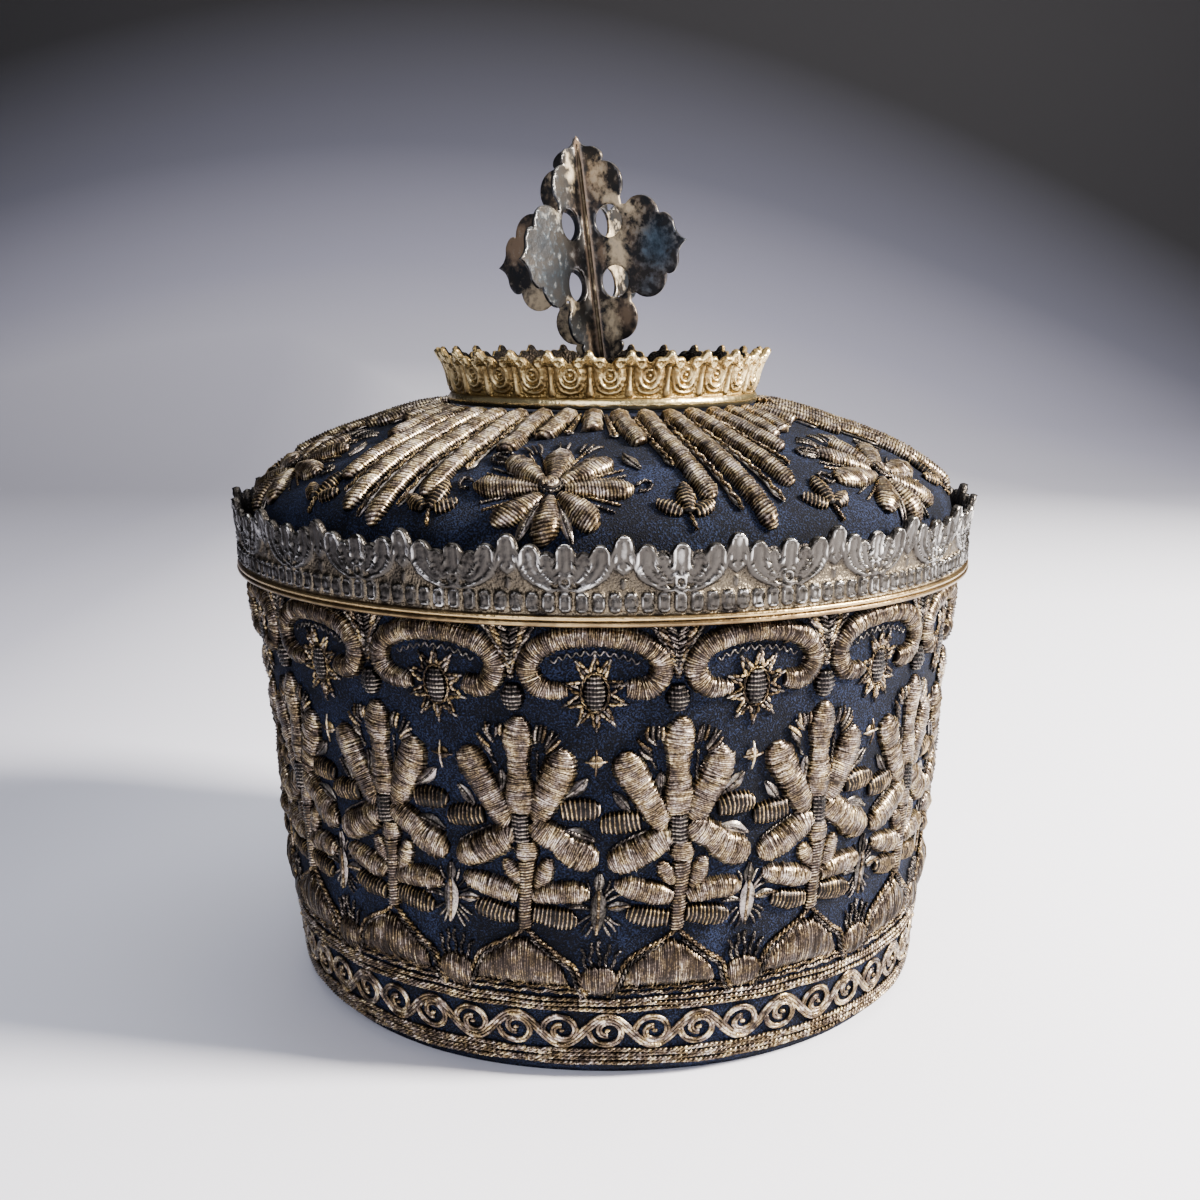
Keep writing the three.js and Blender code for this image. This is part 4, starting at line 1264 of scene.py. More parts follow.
@dataclass
class FlowerWork(RepeatedWork):
    """An eight-petalled flower on the shoulder, with leaves of plate and sprigs beside it."""

    piece: str = "flower_work_{}"
    node: str = "flower_{}"
    seed: int = 300
    count: int = 6
    first_azimuth: float = -7.7
    radius: float = 98.5
    petals: int = 8
    petal_start: float = 3.0
    petal_length: float = 21.0
    petal_half: float = 3.85
    flat: float = 0.86
    pad: float = 2.6
    sprig_azimuths: tuple[float, ...] = (19.6, -17.4)
    sprig_radius: float = 106.5
    petal_shape: Rows = ((0, 0.3), (0.2, 0.62), (0.45, 0.9), (0.72, 1.0), (0.9, 0.72), (1, 0.2))
    boss: Rows = ((-2.6, 0, 0.6), (-1.3, 0, 2.1), (0, 0, 2.6), (1.3, 0, 2.1), (2.6, 0, 0.6))
    boss_ring: float = 2.9
    coil: tuple[float, float, float] = (0.35, 2.05, 2.6)
    loops: tuple[Rows, ...] = (
        ((-9.8, 13.6), (-14.6, 17.5), (-18.6, 15.6), (-17.8, 12), (-13.6, 11.4)),
        ((-21.4, 1.4), (-23.4, 3.6), (-25.6, 2.2), (-24.8, -0.4), (-22.4, -0.6)),
        ((21.4, 1.4), (23.4, 3.6), (25.6, 2.2), (24.8, -0.4), (22.4, -0.6)),
    )
    plates: tuple[Rows, ...] = (
        ((16.5, 17.4, 0.4), (18.6, 14, 2.2), (22, 9.4, 0.5)),
        ((-13.8, 12.6, 0.4), (-15.8, 14.4, 1.5), (-17.6, 15, 0.5)),
    )
    sprays: Rows = (
        (-5.4, 18.6, -7.4, 24.4), (-6.6, 18.2, -9.4, 23.4), (-7.8, 17.4, -11.4, 21.8), (4.6, 19, 5.8, 25.2),
        (6, 18.8, 8, 24.6), (7.2, 18.2, 10.4, 23.2), (-0.9, 19.6, -1.2, 25), (0.9, 19.6, 1, 25.4),
    )

    def work(self, needle: Needle, azimuth: float, number: int) -> None:
        """Works one flower: petals, what lies between them, the coiled boss, what surrounds it and sprigs.

        A petal's reach shrinks from the full length sideways to its flattened share straight up and down.
        """
        needle.spot = Spot(needle.cap, azimuth, needle.cap.at_radius(self.radius))
        share, width = np.array(self.petal_shape).T
        for i in range(self.petals):
            turn = 2 * math.pi * i / self.petals
            reach = self.petal_length * (1 - (1 - self.flat) * abs(math.sin(turn)))
            out = self.petal_start + share * (reach - self.petal_start)
            petal = np.stack([out * math.cos(turn), out * math.sin(turn), self.petal_half * width], 1)
            needle.satin(petal, self.pad, PETAL)
            self.work_between(needle, turn + math.pi / self.petals)
        start, end, turns = self.coil
        grow = np.linspace(start, end, 50)[:, None]
        coil = grow * oval((1.0, 1.0), np.linspace(0, turns * 2 * np.pi, 50))
        needle.cord(coil, 0.45, GOLD, 1, 3.0, lift=3.0)
        ring = oval((self.boss_ring, self.boss_ring), np.linspace(0, 2 * np.pi, 19))
        needle.cord(ring, 0.5, PURL, lift=2.2)
        # The dark padding under the coil is painted shade.
        needle.leaf(self.boss, SHADE_PADDING, 2.5)
        for rows in self.loops:
            needle.cord(rows, 0.6, PURL, twist=2.6)
        for rows in self.plates:
            needle.leaf(rows, PLATE, rib=PURL)
        needle.chips(self.sprays, 0.45, PURL, 0.2)
        for side in self.sprig_azimuths:
            needle.spot = Spot(needle.cap, azimuth + side, needle.cap.at_radius(self.sprig_radius))
            self.work_sprig(needle)

    def work_between(self, needle: Needle, turn: float) -> None:
        """Works a leaf of plate between the lower petals, two lines of purl between the others.

        Args:
            needle: what works them.
            turn: the direction of the gap, in radians.
        """
        aim = np.array([math.cos(turn), math.sin(turn)])
        if math.sin(turn) < -0.5:
            rows = tuple((*(aim * at), half) for at, half in ((6, 0.3), (11, 1.7), (16, 1.4), (19, 0.3)))
            needle.leaf(rows, PLATE, 0.5, rib=PURL)
            return
        side = np.array([-aim[1], aim[0]])
        for off in (-0.6, 0.6):
            rows = tuple(tuple(aim * at + side * off * (1 + at / 14)) for at in (6.5, 10, 14, 19.5))
            needle.cord(rows, 0.45, GILT_PURL if off > 0 else PURL, twist=2.6)

    def work_sprig(self, needle: Needle) -> None:
        """Works three striped leaves on a corded stalk with the needle."""
        needle.satin(((0, 0.5, 1.2), (0.2, 5, 2.3), (0.4, 9, 1.8), (0.5, 11.4, 0.4)), 1.7, STRIPED)
        needle.satin(((-1.4, 0.5, 1), (-3.8, 1.9, 2.1), (-6.6, 3.8, 1.6), (-7.8, 4.6, 0.4)), 1.4, STRIPED)
        needle.satin(((1.4, 0.5, 1), (3.6, 1.7, 2.1), (5.8, 3.2, 1.6), (7, 4, 0.4)), 1.4, STRIPED)
        needle.cord(((0, 0.5), (0.6, -2), (1.2, -4.5)), 0.7, GILT_PURL)


@dataclass
class RibWork(RepeatedWork):
    """Bundles of ribs that run down the dome from the coronet, with plate and purl between them.

    Each row of a bundle's ends is an azimuth from the bundle's middle and a radius; bundles take the two
    lists in turn.
    """

    piece: str = "rib_work_{}"
    node: str = "rib_bundle_{}"
    seed: int = 400
    count: int = 6
    first_azimuth: float = 15.9
    pitch: float = 7.5
    start_radius: float = 53.6
    parting_radius: float = 58.0
    half: float = 2.8
    pad: float = 2.7
    skip: int = 6
    ends: tuple[Rows, Rows] = (
        ((-29.4, 72.5), (-18.4, 67), (-7.9, 76), (0.1, 102.5))
        + ((7.6, 109.5), (14.6, 99), (21.1, 83), (25.1, 75)),
        ((-29.4, 72), (-18.4, 67), (-8, 77), (-1.4, 99))
        + ((4.9, 108), (10.6, 109.7), (17, 102.5), (25, 81.5)),
    )

    def line(self, cap: SoftCap, index: float, azimuth: float, ends: Array) -> tuple[Array, Array]:
        """Draws a rib, or the line between two ribs for an index between theirs.

        A rib leaves the coronet straight and then swings evenly to its end.

        Args:
            cap: the cloth.
            index: the rib's number in its bundle.
            azimuth: the bundle's middle.
            ends: the bundle's ends.

        Returns:
            Azimuths and arc lengths.
        """
        number = np.arange(len(ends))
        end_turn, end_radius = np.interp(index, number, ends[:, 0]), np.interp(index, number, ends[:, 1])
        start = (index + 0.5 - len(ends) / 2) * self.pitch
        top, parting, end = (cap.at_radius(r) for r in (self.start_radius, self.parting_radius, end_radius))
        arc = np.linspace(top, end, 40)
        share = np.clip((arc - parting) / (end - parting), 0, 1)
        ease = share * (0.75 + 0.25 * share)
        return azimuth + start + (end_turn - start) * ease, arc

    def work(self, needle: Needle, azimuth: float, number: int) -> None:
        """Works one bundle: its ribs, then the lines between them."""
        cap, ends = needle.cap, np.array(self.ends[number % 2])
        for i in range(len(ends)):
            turn, arc = self.line(cap, i, azimuth, ends)
            share = np.linspace(0, 1, len(arc))
            narrow = np.clip(np.radians(self.pitch) * cap.radius(arc) / 2 - 0.3, 0, self.half)
            half = narrow * np.clip(np.minimum(share * 14 + 0.35, (1 - share) * 22), 0.15, 1) ** 0.6
            self.rib(needle, turn, arc, half)
        for i in range(len(ends) - 1):
            turn, arc = self.line(cap, i + 0.5, azimuth, ends)
            self.between(needle, turn[self.skip :], arc[self.skip :])

    def rib(self, needle: Needle, turn: Array, arc: Array, half: Array) -> None:
        """Lays ribbed satin along a line.

        Args:
            needle: what lays it.
            turn: the line's azimuths.
            arc: its arc lengths.
            half: the half widths.
        """
        anchor = Spot(needle.cap, float(turn.mean()), float(arc.mean()))
        needle.spot = anchor
        flat_x = np.radians(turn - anchor.azimuth) * needle.cap.radius(arc)
        rows = np.stack([flat_x, anchor.arc - arc, half], 1)
        needle.satin(np.vstack([rows[:-3:3], rows[-3:]]), self.pad, RIBBED)

    def between(self, needle: Needle, turn: Array, arc: Array) -> None:
        """Lays a strip of plate that ends in a leaf, with a wavering line of purl on it.

        Args:
            needle: what lays it.
            turn: the line's azimuths.
            arc: its arc lengths.
        """
        radius = needle.cap.radius(arc)
        paths, ups = needle.lifted(turn[None], arc[None], np.full((1, len(arc)), 0.6))
        share = np.linspace(0, 1, len(arc))
        width = np.interp(share, [0, 0.6, 0.85, 0.93, 1], [0.5, 0.9, 1.1, 1.9, 0.2])
        points, faces = tubes(paths, ups, width, 0.3, 6)
        needle.piece.add(points, faces, PLATE, needle.chance.random())
        wave = 0.55 * np.sin(np.arange(len(arc)) * 1.9)
        route = (turn + np.degrees(wave / radius), arc)
        needle.cord(route, 0.55, GILT_PURL, twist=2.8, lift=1.25, flat=False)


@dataclass
class HemWork:
    """The couched cords round the foot of the wall, with a running scroll between them."""

    borders: tuple[tuple[str, str, tuple[float, ...]], ...] = (
        ("upper_cord_work", "upper_hem_cord", (22.1, 23.6, 25.1)),
        ("lower_cord_work", "lower_hem_cord", (4.8, 6.2, 7.6, 8.8)),
    )
    border_gauge: float = 0.78
    waver: float = 0.32
    middle_height: float = 15.2
    scrolls: int = 50
    wave: float = 4.5
    gauge: float = 0.5
    gap: float = 0.85
    branch: float = 0.42
    shrink: float = 0.74
    curl: float = 1.3
    spur: float = 4.2
    ring_points: int = 720

    def ring(self, cap: SoftCap, height: float, waver: float, seed: int) -> tuple[Array, Array]:
        """Azimuths and arc lengths of a closed route at a height, wavering by three slow sines."""
        turn = np.linspace(0, 360, self.ring_points + 1)
        chance = np.random.default_rng(seed)
        sway = sum(np.sin(np.radians(turn * n) + chance.random() * 6) for n in (7, 17, 31))
        return turn, cap.at_height(height) + waver * sway / 2

    def build(self, cap: SoftCap) -> None:
        """Works both borders and the ornament between them on the cap."""
        for name, node, heights in self.borders:
            needle = Needle(cap, name, 500 + int(heights[0]))
            for i, height in enumerate(heights):
                turn, arc = self.ring(cap, height, self.waver, int(heights[0]) + i % 2)
                way = slice(None, None, 1 if i % 2 else -1)
                route = (turn[way], arc[way])
                needle.cord(route, self.border_gauge, GOLD, twist=2.9, closed=True, steps=4, flat=False)
            needle.build((node,))
        needle = Needle(cap, "scroll_work", 550)
        self.scroll(needle, cap)
        needle.build(("ornament_band",))

    def scroll(self, needle: Needle, cap: SoftCap) -> None:
        """A waving stem with a spiral branch in each of its bends, in gold cords side by side.

        The stem is a cosine round the cap; a branch is a spiral whose radius shrinks evenly as it turns.

        Args:
            needle: what works it.
            cap: the cloth.
        """
        arc = cap.at_height(self.middle_height)
        radius = float(cap.radius(arc))
        bend = 2 * math.pi * radius / self.scrolls
        turn = np.linspace(0, 360, self.ring_points + 1)
        x = np.radians(turn) * radius
        slope = -self.wave * np.sin(np.pi * x / bend) * np.pi / bend
        steep = np.hypot(1, slope)
        for off in (-2 * self.gap * self.gauge, 0, 2 * self.gap * self.gauge):
            y = self.wave * np.cos(np.pi * x / bend) + off / steep
            route = (np.degrees((x - off * slope / steep) / radius), arc - y)
            needle.cord(route, self.gauge, GOLD, 1, 1.1, lift=0.6, steps=1, closed=True, flat=False)
        spiral = np.linspace(0, 1, 30)
        angle = np.pi + self.curl * 2 * np.pi * spiral
        for k in range(self.scrolls):
            side = 1 if k % 2 == 0 else -1
            needle.spot = Spot(cap, math.degrees(k * bend / radius), arc)
            for off in (-self.gap * self.gauge, self.gap * self.gauge):
                grow = self.branch * bend * (1 - self.shrink * spiral) + off
                rows = np.stack([grow * np.cos(angle), side * grow * np.sin(angle) * 0.95], 1)
                needle.cord(rows[::2], self.gauge, GOLD, 1, 1.1, lift=0.7, steps=1)
            spur = side * self.spur
            needle.chips(((-0.5, 0, 0.6, 0.1), (-2.4, spur, 2.4, spur * 1.15)), 0.6, GILT_PURL, 0.3)


# ---- Cast rims ----


def ridge(x: Array, z: Array, line: Rows, height: float, gouged: bool = False) -> Array:
    """A rounded ridge along a smooth line.

    Each row of the line is x, z and half width. A point at share q of the half width from the nearest
    stretch is raised by height * sqrt(1 - q * q).

    Args:
        x: where the surface's points lie along the rim.
        z: their heights.
        line: the ridge's middle line.
        height: the ridge's height on its middle line.
        gouged: whether it is hollowed out to a rim.

    Returns:
        How far each point is raised.
    """
    rows = np.array(line, float)
    rows = smooth(rows, 5) if len(rows) > 2 else rows
    start, step = rows[:-1], np.diff(rows, axis=0)
    off_x, off_z = x[..., None] - start[:, 0], z[..., None] - start[:, 1]
    square = step[:, 0] ** 2 + step[:, 1] ** 2
    share = np.clip((off_x * step[:, 0] + off_z * step[:, 1]) / np.maximum(square, 1e-9), 0, 1)
    away = np.hypot(off_x - share * step[:, 0], off_z - share * step[:, 1])
    q = (away / np.maximum(start[:, 2] + share * step[:, 2], 0.05)).min(-1)
    if gouged:
        return height * np.where(q < 1.2, dished(q, (0.84, 0.17, 0.92), (0.76, 0.58)), 0)
    return height * np.sqrt(np.clip(1 - q * q, 0, 1))


def dished(q: Array, rim: tuple[float, float, float], body: tuple[float, float]) -> Array:
    """The higher one of a raised rim, a bell curve in q, and the low body inside it, half an ellipse.

    Args:
        q: distance from the middle, 1 at the outer edge.
        rim: where the rim stands, how wide it is and how high.
        body: where the body ends and how high it is.

    Returns:
        The height.
    """
    at, wide, high = rim
    end, low = body
    bell = high * np.exp(-(((q - at) / wide) ** 2))
    return np.maximum(bell, low * np.sqrt(np.clip(1 - (q / end) ** 2, 0, 1)))


def hump(x: Array, middle: float, half: float, top: float, drop: float) -> Array:
    """A round tip of a cut edge: a quarter ellipse to each side of its middle and nothing beyond.

    Args:
        x: where the edge's points lie.
        middle: the tip's middle.
        half: its half width.
        top: its height.
        drop: how much lower its ends are.

    Returns:
        The tip's height at each point.
    """
    q = np.clip(np.abs(x - middle) / half, 0, 1)
    return np.where(q < 1, top - drop * (1 - np.sqrt(1 - q * q)), -np.inf)


@dataclass
class CastRim:
    """A cast rim: a moulding under a flared sheet with repeated relief and a cut-out edge."""

    name: str = "rim"
    node: str = "rim"
    slot: str = "slot"
    units: int = 1
    phase: float = 0.0
    foot: Rows = ((0, 0),)
    profile: Rows = ((0, 0),)
    back_shares: tuple[float, ...] = (1.0, 0.72, 0.4, 0.0)
    wall: float = 0.9
    columns: int = 60
    rows: int = 42
    radius: float = 1.0
    metal: Finish = BAND_SILVER
    gilt: Finish = BAND_GILT
    back: Finish = RIM_BACK
    depth: float = 1.0
    foot_tones: tuple[float, ...] = (0.5,)
    seed: int = 1

    def relief(self, x: Array, z: Array) -> Array:
        """Raises the ornament of a unit.

        Args:
            x: distance round from the unit's middle.
            z: height over the floor.

        Returns:
            How far each point is raised.
        """
        raise NotImplementedError

    def edge(self, x: Array) -> Array:
        """The height of the cut edge across a unit."""
        raise NotImplementedError

    def build(self, cap: SoftCap) -> None:
        """Makes the rim on the cap as one closed surface: moulding, front, edge and back."""
        chance = np.random.default_rng(self.seed)
        share = (np.arange(self.columns) / self.columns) - 0.5
        width = 2 * math.pi * self.radius / self.units
        x = np.tile(share * width, self.units)
        turns = np.repeat(np.arange(self.units), self.columns) + np.tile(share, self.units)
        azimuth = self.phase + turns * (360 / self.units)
        wobble = np.repeat(chance.normal(0, 0.25, self.units), self.columns) * bump(x, width / 2)
        profile = np.array(self.profile)
        top = self.edge(x) + wobble
        climb = np.linspace(0, 1, self.rows)[:, None] ** 0.92
        z = profile[0, 1] + climb * (top[None] - profile[0, 1])
        base = np.interp(z, profile[:, 1], profile[:, 0])
        raised = self.relief(np.broadcast_to(x[None], z.shape), z)
        near_edge = np.clip((top[None] - z) / 0.5, 0.2, 1)
        foot = np.array(self.foot)
        back_z = profile[0, 1] + np.array(self.back_shares)[:, None] * (top[None] - 0.12 - profile[0, 1])
        sheets = (
            (foot[:, :1], foot[:, 1:]),
            (base + raised * near_edge, z),
            (np.interp(back_z, profile[:, 1], profile[:, 0]) - self.wall, back_z),
        )
        loop = np.concatenate([np.stack(np.broadcast_arrays(azimuth, *sheet), -1) for sheet in sheets])
        points = cap.place(loop[..., 0], loop[..., 1], loop[..., 2])
        faces = sheet_faces(len(loop), len(x), wrap_rows=True, wrap_columns=True)[:, ::-1]
        row = np.arange(len(faces)) // len(x)
        tone = np.concatenate(
            [
                np.broadcast_to(np.array(self.foot_tones)[:, None], (len(foot), len(x))),
                np.clip(raised / self.depth, 0, 1),
                np.full(back_z.shape, 0.06),
            ]
        )
        piece = Piece(self.name, (self.metal, self.gilt, self.back))
        gilded = row < len(foot) - 1
        behind = row >= len(foot) + len(z)
        piece.add(points.reshape(-1, 3), [faces[~(gilded | behind)]], self.metal, tone.reshape(-1))
        piece.face(faces[gilded], 1)
        piece.face(faces[behind], 2)
        piece.build((self.node,), self.slot)


@dataclass
class ShoulderBand(CastRim):
    """The silver band: a two-line gilt strip, a row of gadroons and a frieze of palmettes."""

    name: str = "palmette_band"
    node: str = "shoulder_band"
    slot: str = "band_silver"
    units: int = 25
    phase: float = -4.7
    foot: Rows = (
        (112.6, 134.6), (112.6, 131.9), (115.4, 131.6), (116.2, 131.9), (116.4, 132.5), (116.1, 133.0),
        (115.8, 133.15), (116.1, 133.3), (116.35, 133.8), (116.1, 134.4), (115.5, 134.7),
    )
    profile: Rows = ((115.1, 134.8), (115.2, 140), (115.3, 145), (115.9, 150), (117.0, 155.6), (117.3, 158))
    columns: int = 48
    rows: int = 38
    radius: float = 117.3
    depth: float = 2.1
    # Tones of the moulding's rows, 0 a hollow and 1 a ridge: rolls that stand out are worn bright and painted
    # with highlight.
    foot_tones: tuple[float, ...] = (0.2, 0.1, 0.2, 0.35, 0.55, 0.25, 0.0, 0.35, 0.9, 0.5, 0.0)
    gadroons: int = 7
    seed: int = 11

    def relief(self, x: Array, z: Array) -> Array:
        """Raises gouged lobes that fan out from a small ring, thin scrolls and a pointed leaf."""
        a = np.abs(x)
        half = math.pi * self.radius / self.units
        lobes = (
            (((0, 144.8, 1.5), (0, 147.6, 2.2), (0, 150.2, 2.4), (0, 151, 2.1)), 1.6),
            (((2.3, 143.6, 1.1), (3.8, 146.2, 1.7), (4.8, 148.6, 1.8)), 1.25),
            (((4.4, 142.6, 1.2), (7.2, 144.8, 1.8), (8.8, 147.6, 2.3), (9, 150, 2.4), (9, 150.6, 2.1)), 1.6),
            (((half, 147.4, 1.5), (half, 150.2, 2.5), (half, 152.6, 2.3), (half, 153.8, 1.3)), 1.6),
        )
        lines = (
            (
                ((0, 140.9, 0.7), (3.2, 141.1, 0.7), (6.6, 142.2, 0.8), (9.8, 144.2, 0.9))
                + ((11.6, 147, 0.9), (12.1, 149.6, 0.8)),
                1.0,
            ),
            (((half - 2.9, 149.4, 0.5), (half - 2.0, 147, 0.6), (half, 145.4, 0.7)), 0.9),
            (((half, 141.6, 0.7), (half, 143.4, 0.9)), 0.6),
        )
        raised = np.zeros(x.shape)
        for line, height in lines:
            raised = np.maximum(raised, ridge(a, z, line, height))
        for line, height in lobes:
            raised = np.maximum(raised, ridge(a, z, line, height, gouged=True))
        from_ring = np.hypot(a, z - 143.1)
        raised = np.where(from_ring < 1.9, 0.15, raised)
        raised = np.maximum(raised, 1.15 * np.sqrt(np.clip(1 - ((from_ring - 1.35) / 0.55) ** 2, 0, 1)))
        raised = np.maximum(raised, ridge(a, z, ((0, 143.1, 0.5), (0.01, 143.1, 0.5)), 0.7))
        return np.where(z < 140.6, self.gadroon(x, z, half), raised)

    def gadroon(self, x: Array, z: Array, half: float) -> Array:
        """Raises rounded oblongs with a rim and a soft middle; half is half a unit's width."""
        pitch = 2 * half / self.gadroons
        across = (x + half) % pitch - pitch / 2
        q = (np.abs(across / 1.62) ** 3 + np.abs((z - 138) / 2.6) ** 3) ** (1 / 3)
        return 1.5 * dished(q, (0.82, 0.18, 0.86), (0.7, 0.62))

    def edge(self, x: Array) -> Array:
        """Cuts round tips over the lobes and a taller one over the leaf between two palmettes."""
        half = math.pi * self.radius / self.units
        tips = ((0, 2.5, 152.8, 2.4), (4.7, 1.9, 150.9, 1.4), (8.9, 2.5, 152.8, 2.4))
        tips += ((half, 2.7, 155.4, 3.4), (12.1, 1.2, 150.8, 0.8))
        return np.max([np.full(x.shape, 149.9), *(hump(np.abs(x), *tip) for tip in tips)], axis=0)


@dataclass
class TopCoronet(CastRim):
    """The small coronet: a plain roll, then scrolls round a boss between upright leaves."""

    name: str = "scroll_coronet"
    node: str = "top_coronet"
    slot: str = "gilt_silver"
    units: int = 27
    phase: float = 2.3
    foot: Rows = (
        (47.6, 184.9), (46.9, 181.4), (48.2, 181.5), (49.0, 182.0), (49.4, 182.9), (49.3, 183.9),
        (48.9, 184.6), (48.5, 185.0),
    )
    profile: Rows = ((48.3, 185.1), (48.7, 188), (49.3, 191), (50.8, 195), (52.7, 198.6), (53, 200))
    columns: int = 24
    rows: int = 26
    radius: float = 51.0
    metal: Finish = CORONET_GILT
    gilt: Finish = CORONET_GILT
    depth: float = 1.6
    # Tones of the roll's rows, 0 a hollow and 1 a ridge: where the roll stands out it is worn bright and
    # painted with highlight.
    foot_tones: tuple[float, ...] = (0.3, 0.3, 0.5, 0.75, 0.95, 0.85, 0.5, 0.1)
    seed: int = 12

    def relief(self, x: Array, z: Array) -> Array:
        """Raises a dished boss with a dot, a double U with volutes, and a leaf on a ridged stem."""
        a = np.abs(x)
        half = math.pi * self.radius / self.units
        from_boss = np.hypot(a, z - 191.3)
        raised = 0.85 * np.exp(-(((from_boss - 1.75) / 0.42) ** 2))
        raised = np.maximum(raised, ridge(a, z, ((0, 191.3, 0.6), (0.01, 191.3, 0.6)), 0.95))
        lines = (
            (
                ((1.9, 194.4, 0.7), (3, 192.6, 0.75), (2.9, 190.2, 0.75))
                + ((1.8, 188.3, 0.7), (0, 187.7, 0.7)),
                1.0,
            ),
            (((4.1, 193.6, 0.45), (4.2, 190.6, 0.5), (3.0, 187.2, 0.5), (0, 186.2, 0.5)), 0.6),
            (((half, 186, 1.4), (half, 190, 0.8), (half, 194, 0.8)), 0.7),
            (((half, 187, 0.3), (half, 190, 0.3), (half, 194, 0.3)), 0.95),
            (((half - 1.3, 195, 1.0), (half - 1.35, 196, 1.0)), 1.15),
            (((half, 195, 1.1), (half, 197.2, 1.2)), 1.35),
        )
        for line, height in lines:
            raised = np.maximum(raised, ridge(a, z, line, height))
        curl = np.hypot(a - 2.9, z - 194.9)
        raised = np.maximum(raised, 1.1 * np.exp(-(((curl - 1.1) / 0.45) ** 2)))
        return 1.25 * np.maximum(raised, ridge(a, z, ((2.9, 194.9, 0.5), (2.91, 194.9, 0.5)), 0.9))

    def edge(self, x: Array) -> Array:
        """Cuts a round tip over each leaf and each volute, with dips between."""
        half = math.pi * self.radius / self.units
        tips = ((half, 1.3, 198.8, 1.6), (half - 1.3, 1.1, 197, 1.1))
        tips += ((2.7, 1.9, 196.7, 1.9), (0, 1.2, 195, 0.8))
        return np.max([np.full(x.shape, 194.2), *(hump(np.abs(x), *tip) for tip in tips)], axis=0)


# ---- The cross ----


@dataclass(frozen=True)
class Stain:
    """A soft patch on the flat cross: its middle, reach along u and v, tilt in degrees and strength."""

    u: float
    v: float
    wide: float
    high: float
    strength: float
    tilt: float = 0.0

    def at(self, u: Array, v: Array) -> Array:
        """How strong the patch is at u and v: a cosine bump over a tilted ellipse."""
        turn = math.radians(self.tilt)
        along = (u - self.u) * math.cos(turn) + (v - self.v) * math.sin(turn)
        across = -(u - self.u) * math.sin(turn) + (v - self.v) * math.cos(turn)
        return self.strength * bump(np.hypot(along / self.wide, across / self.high), 1.0)


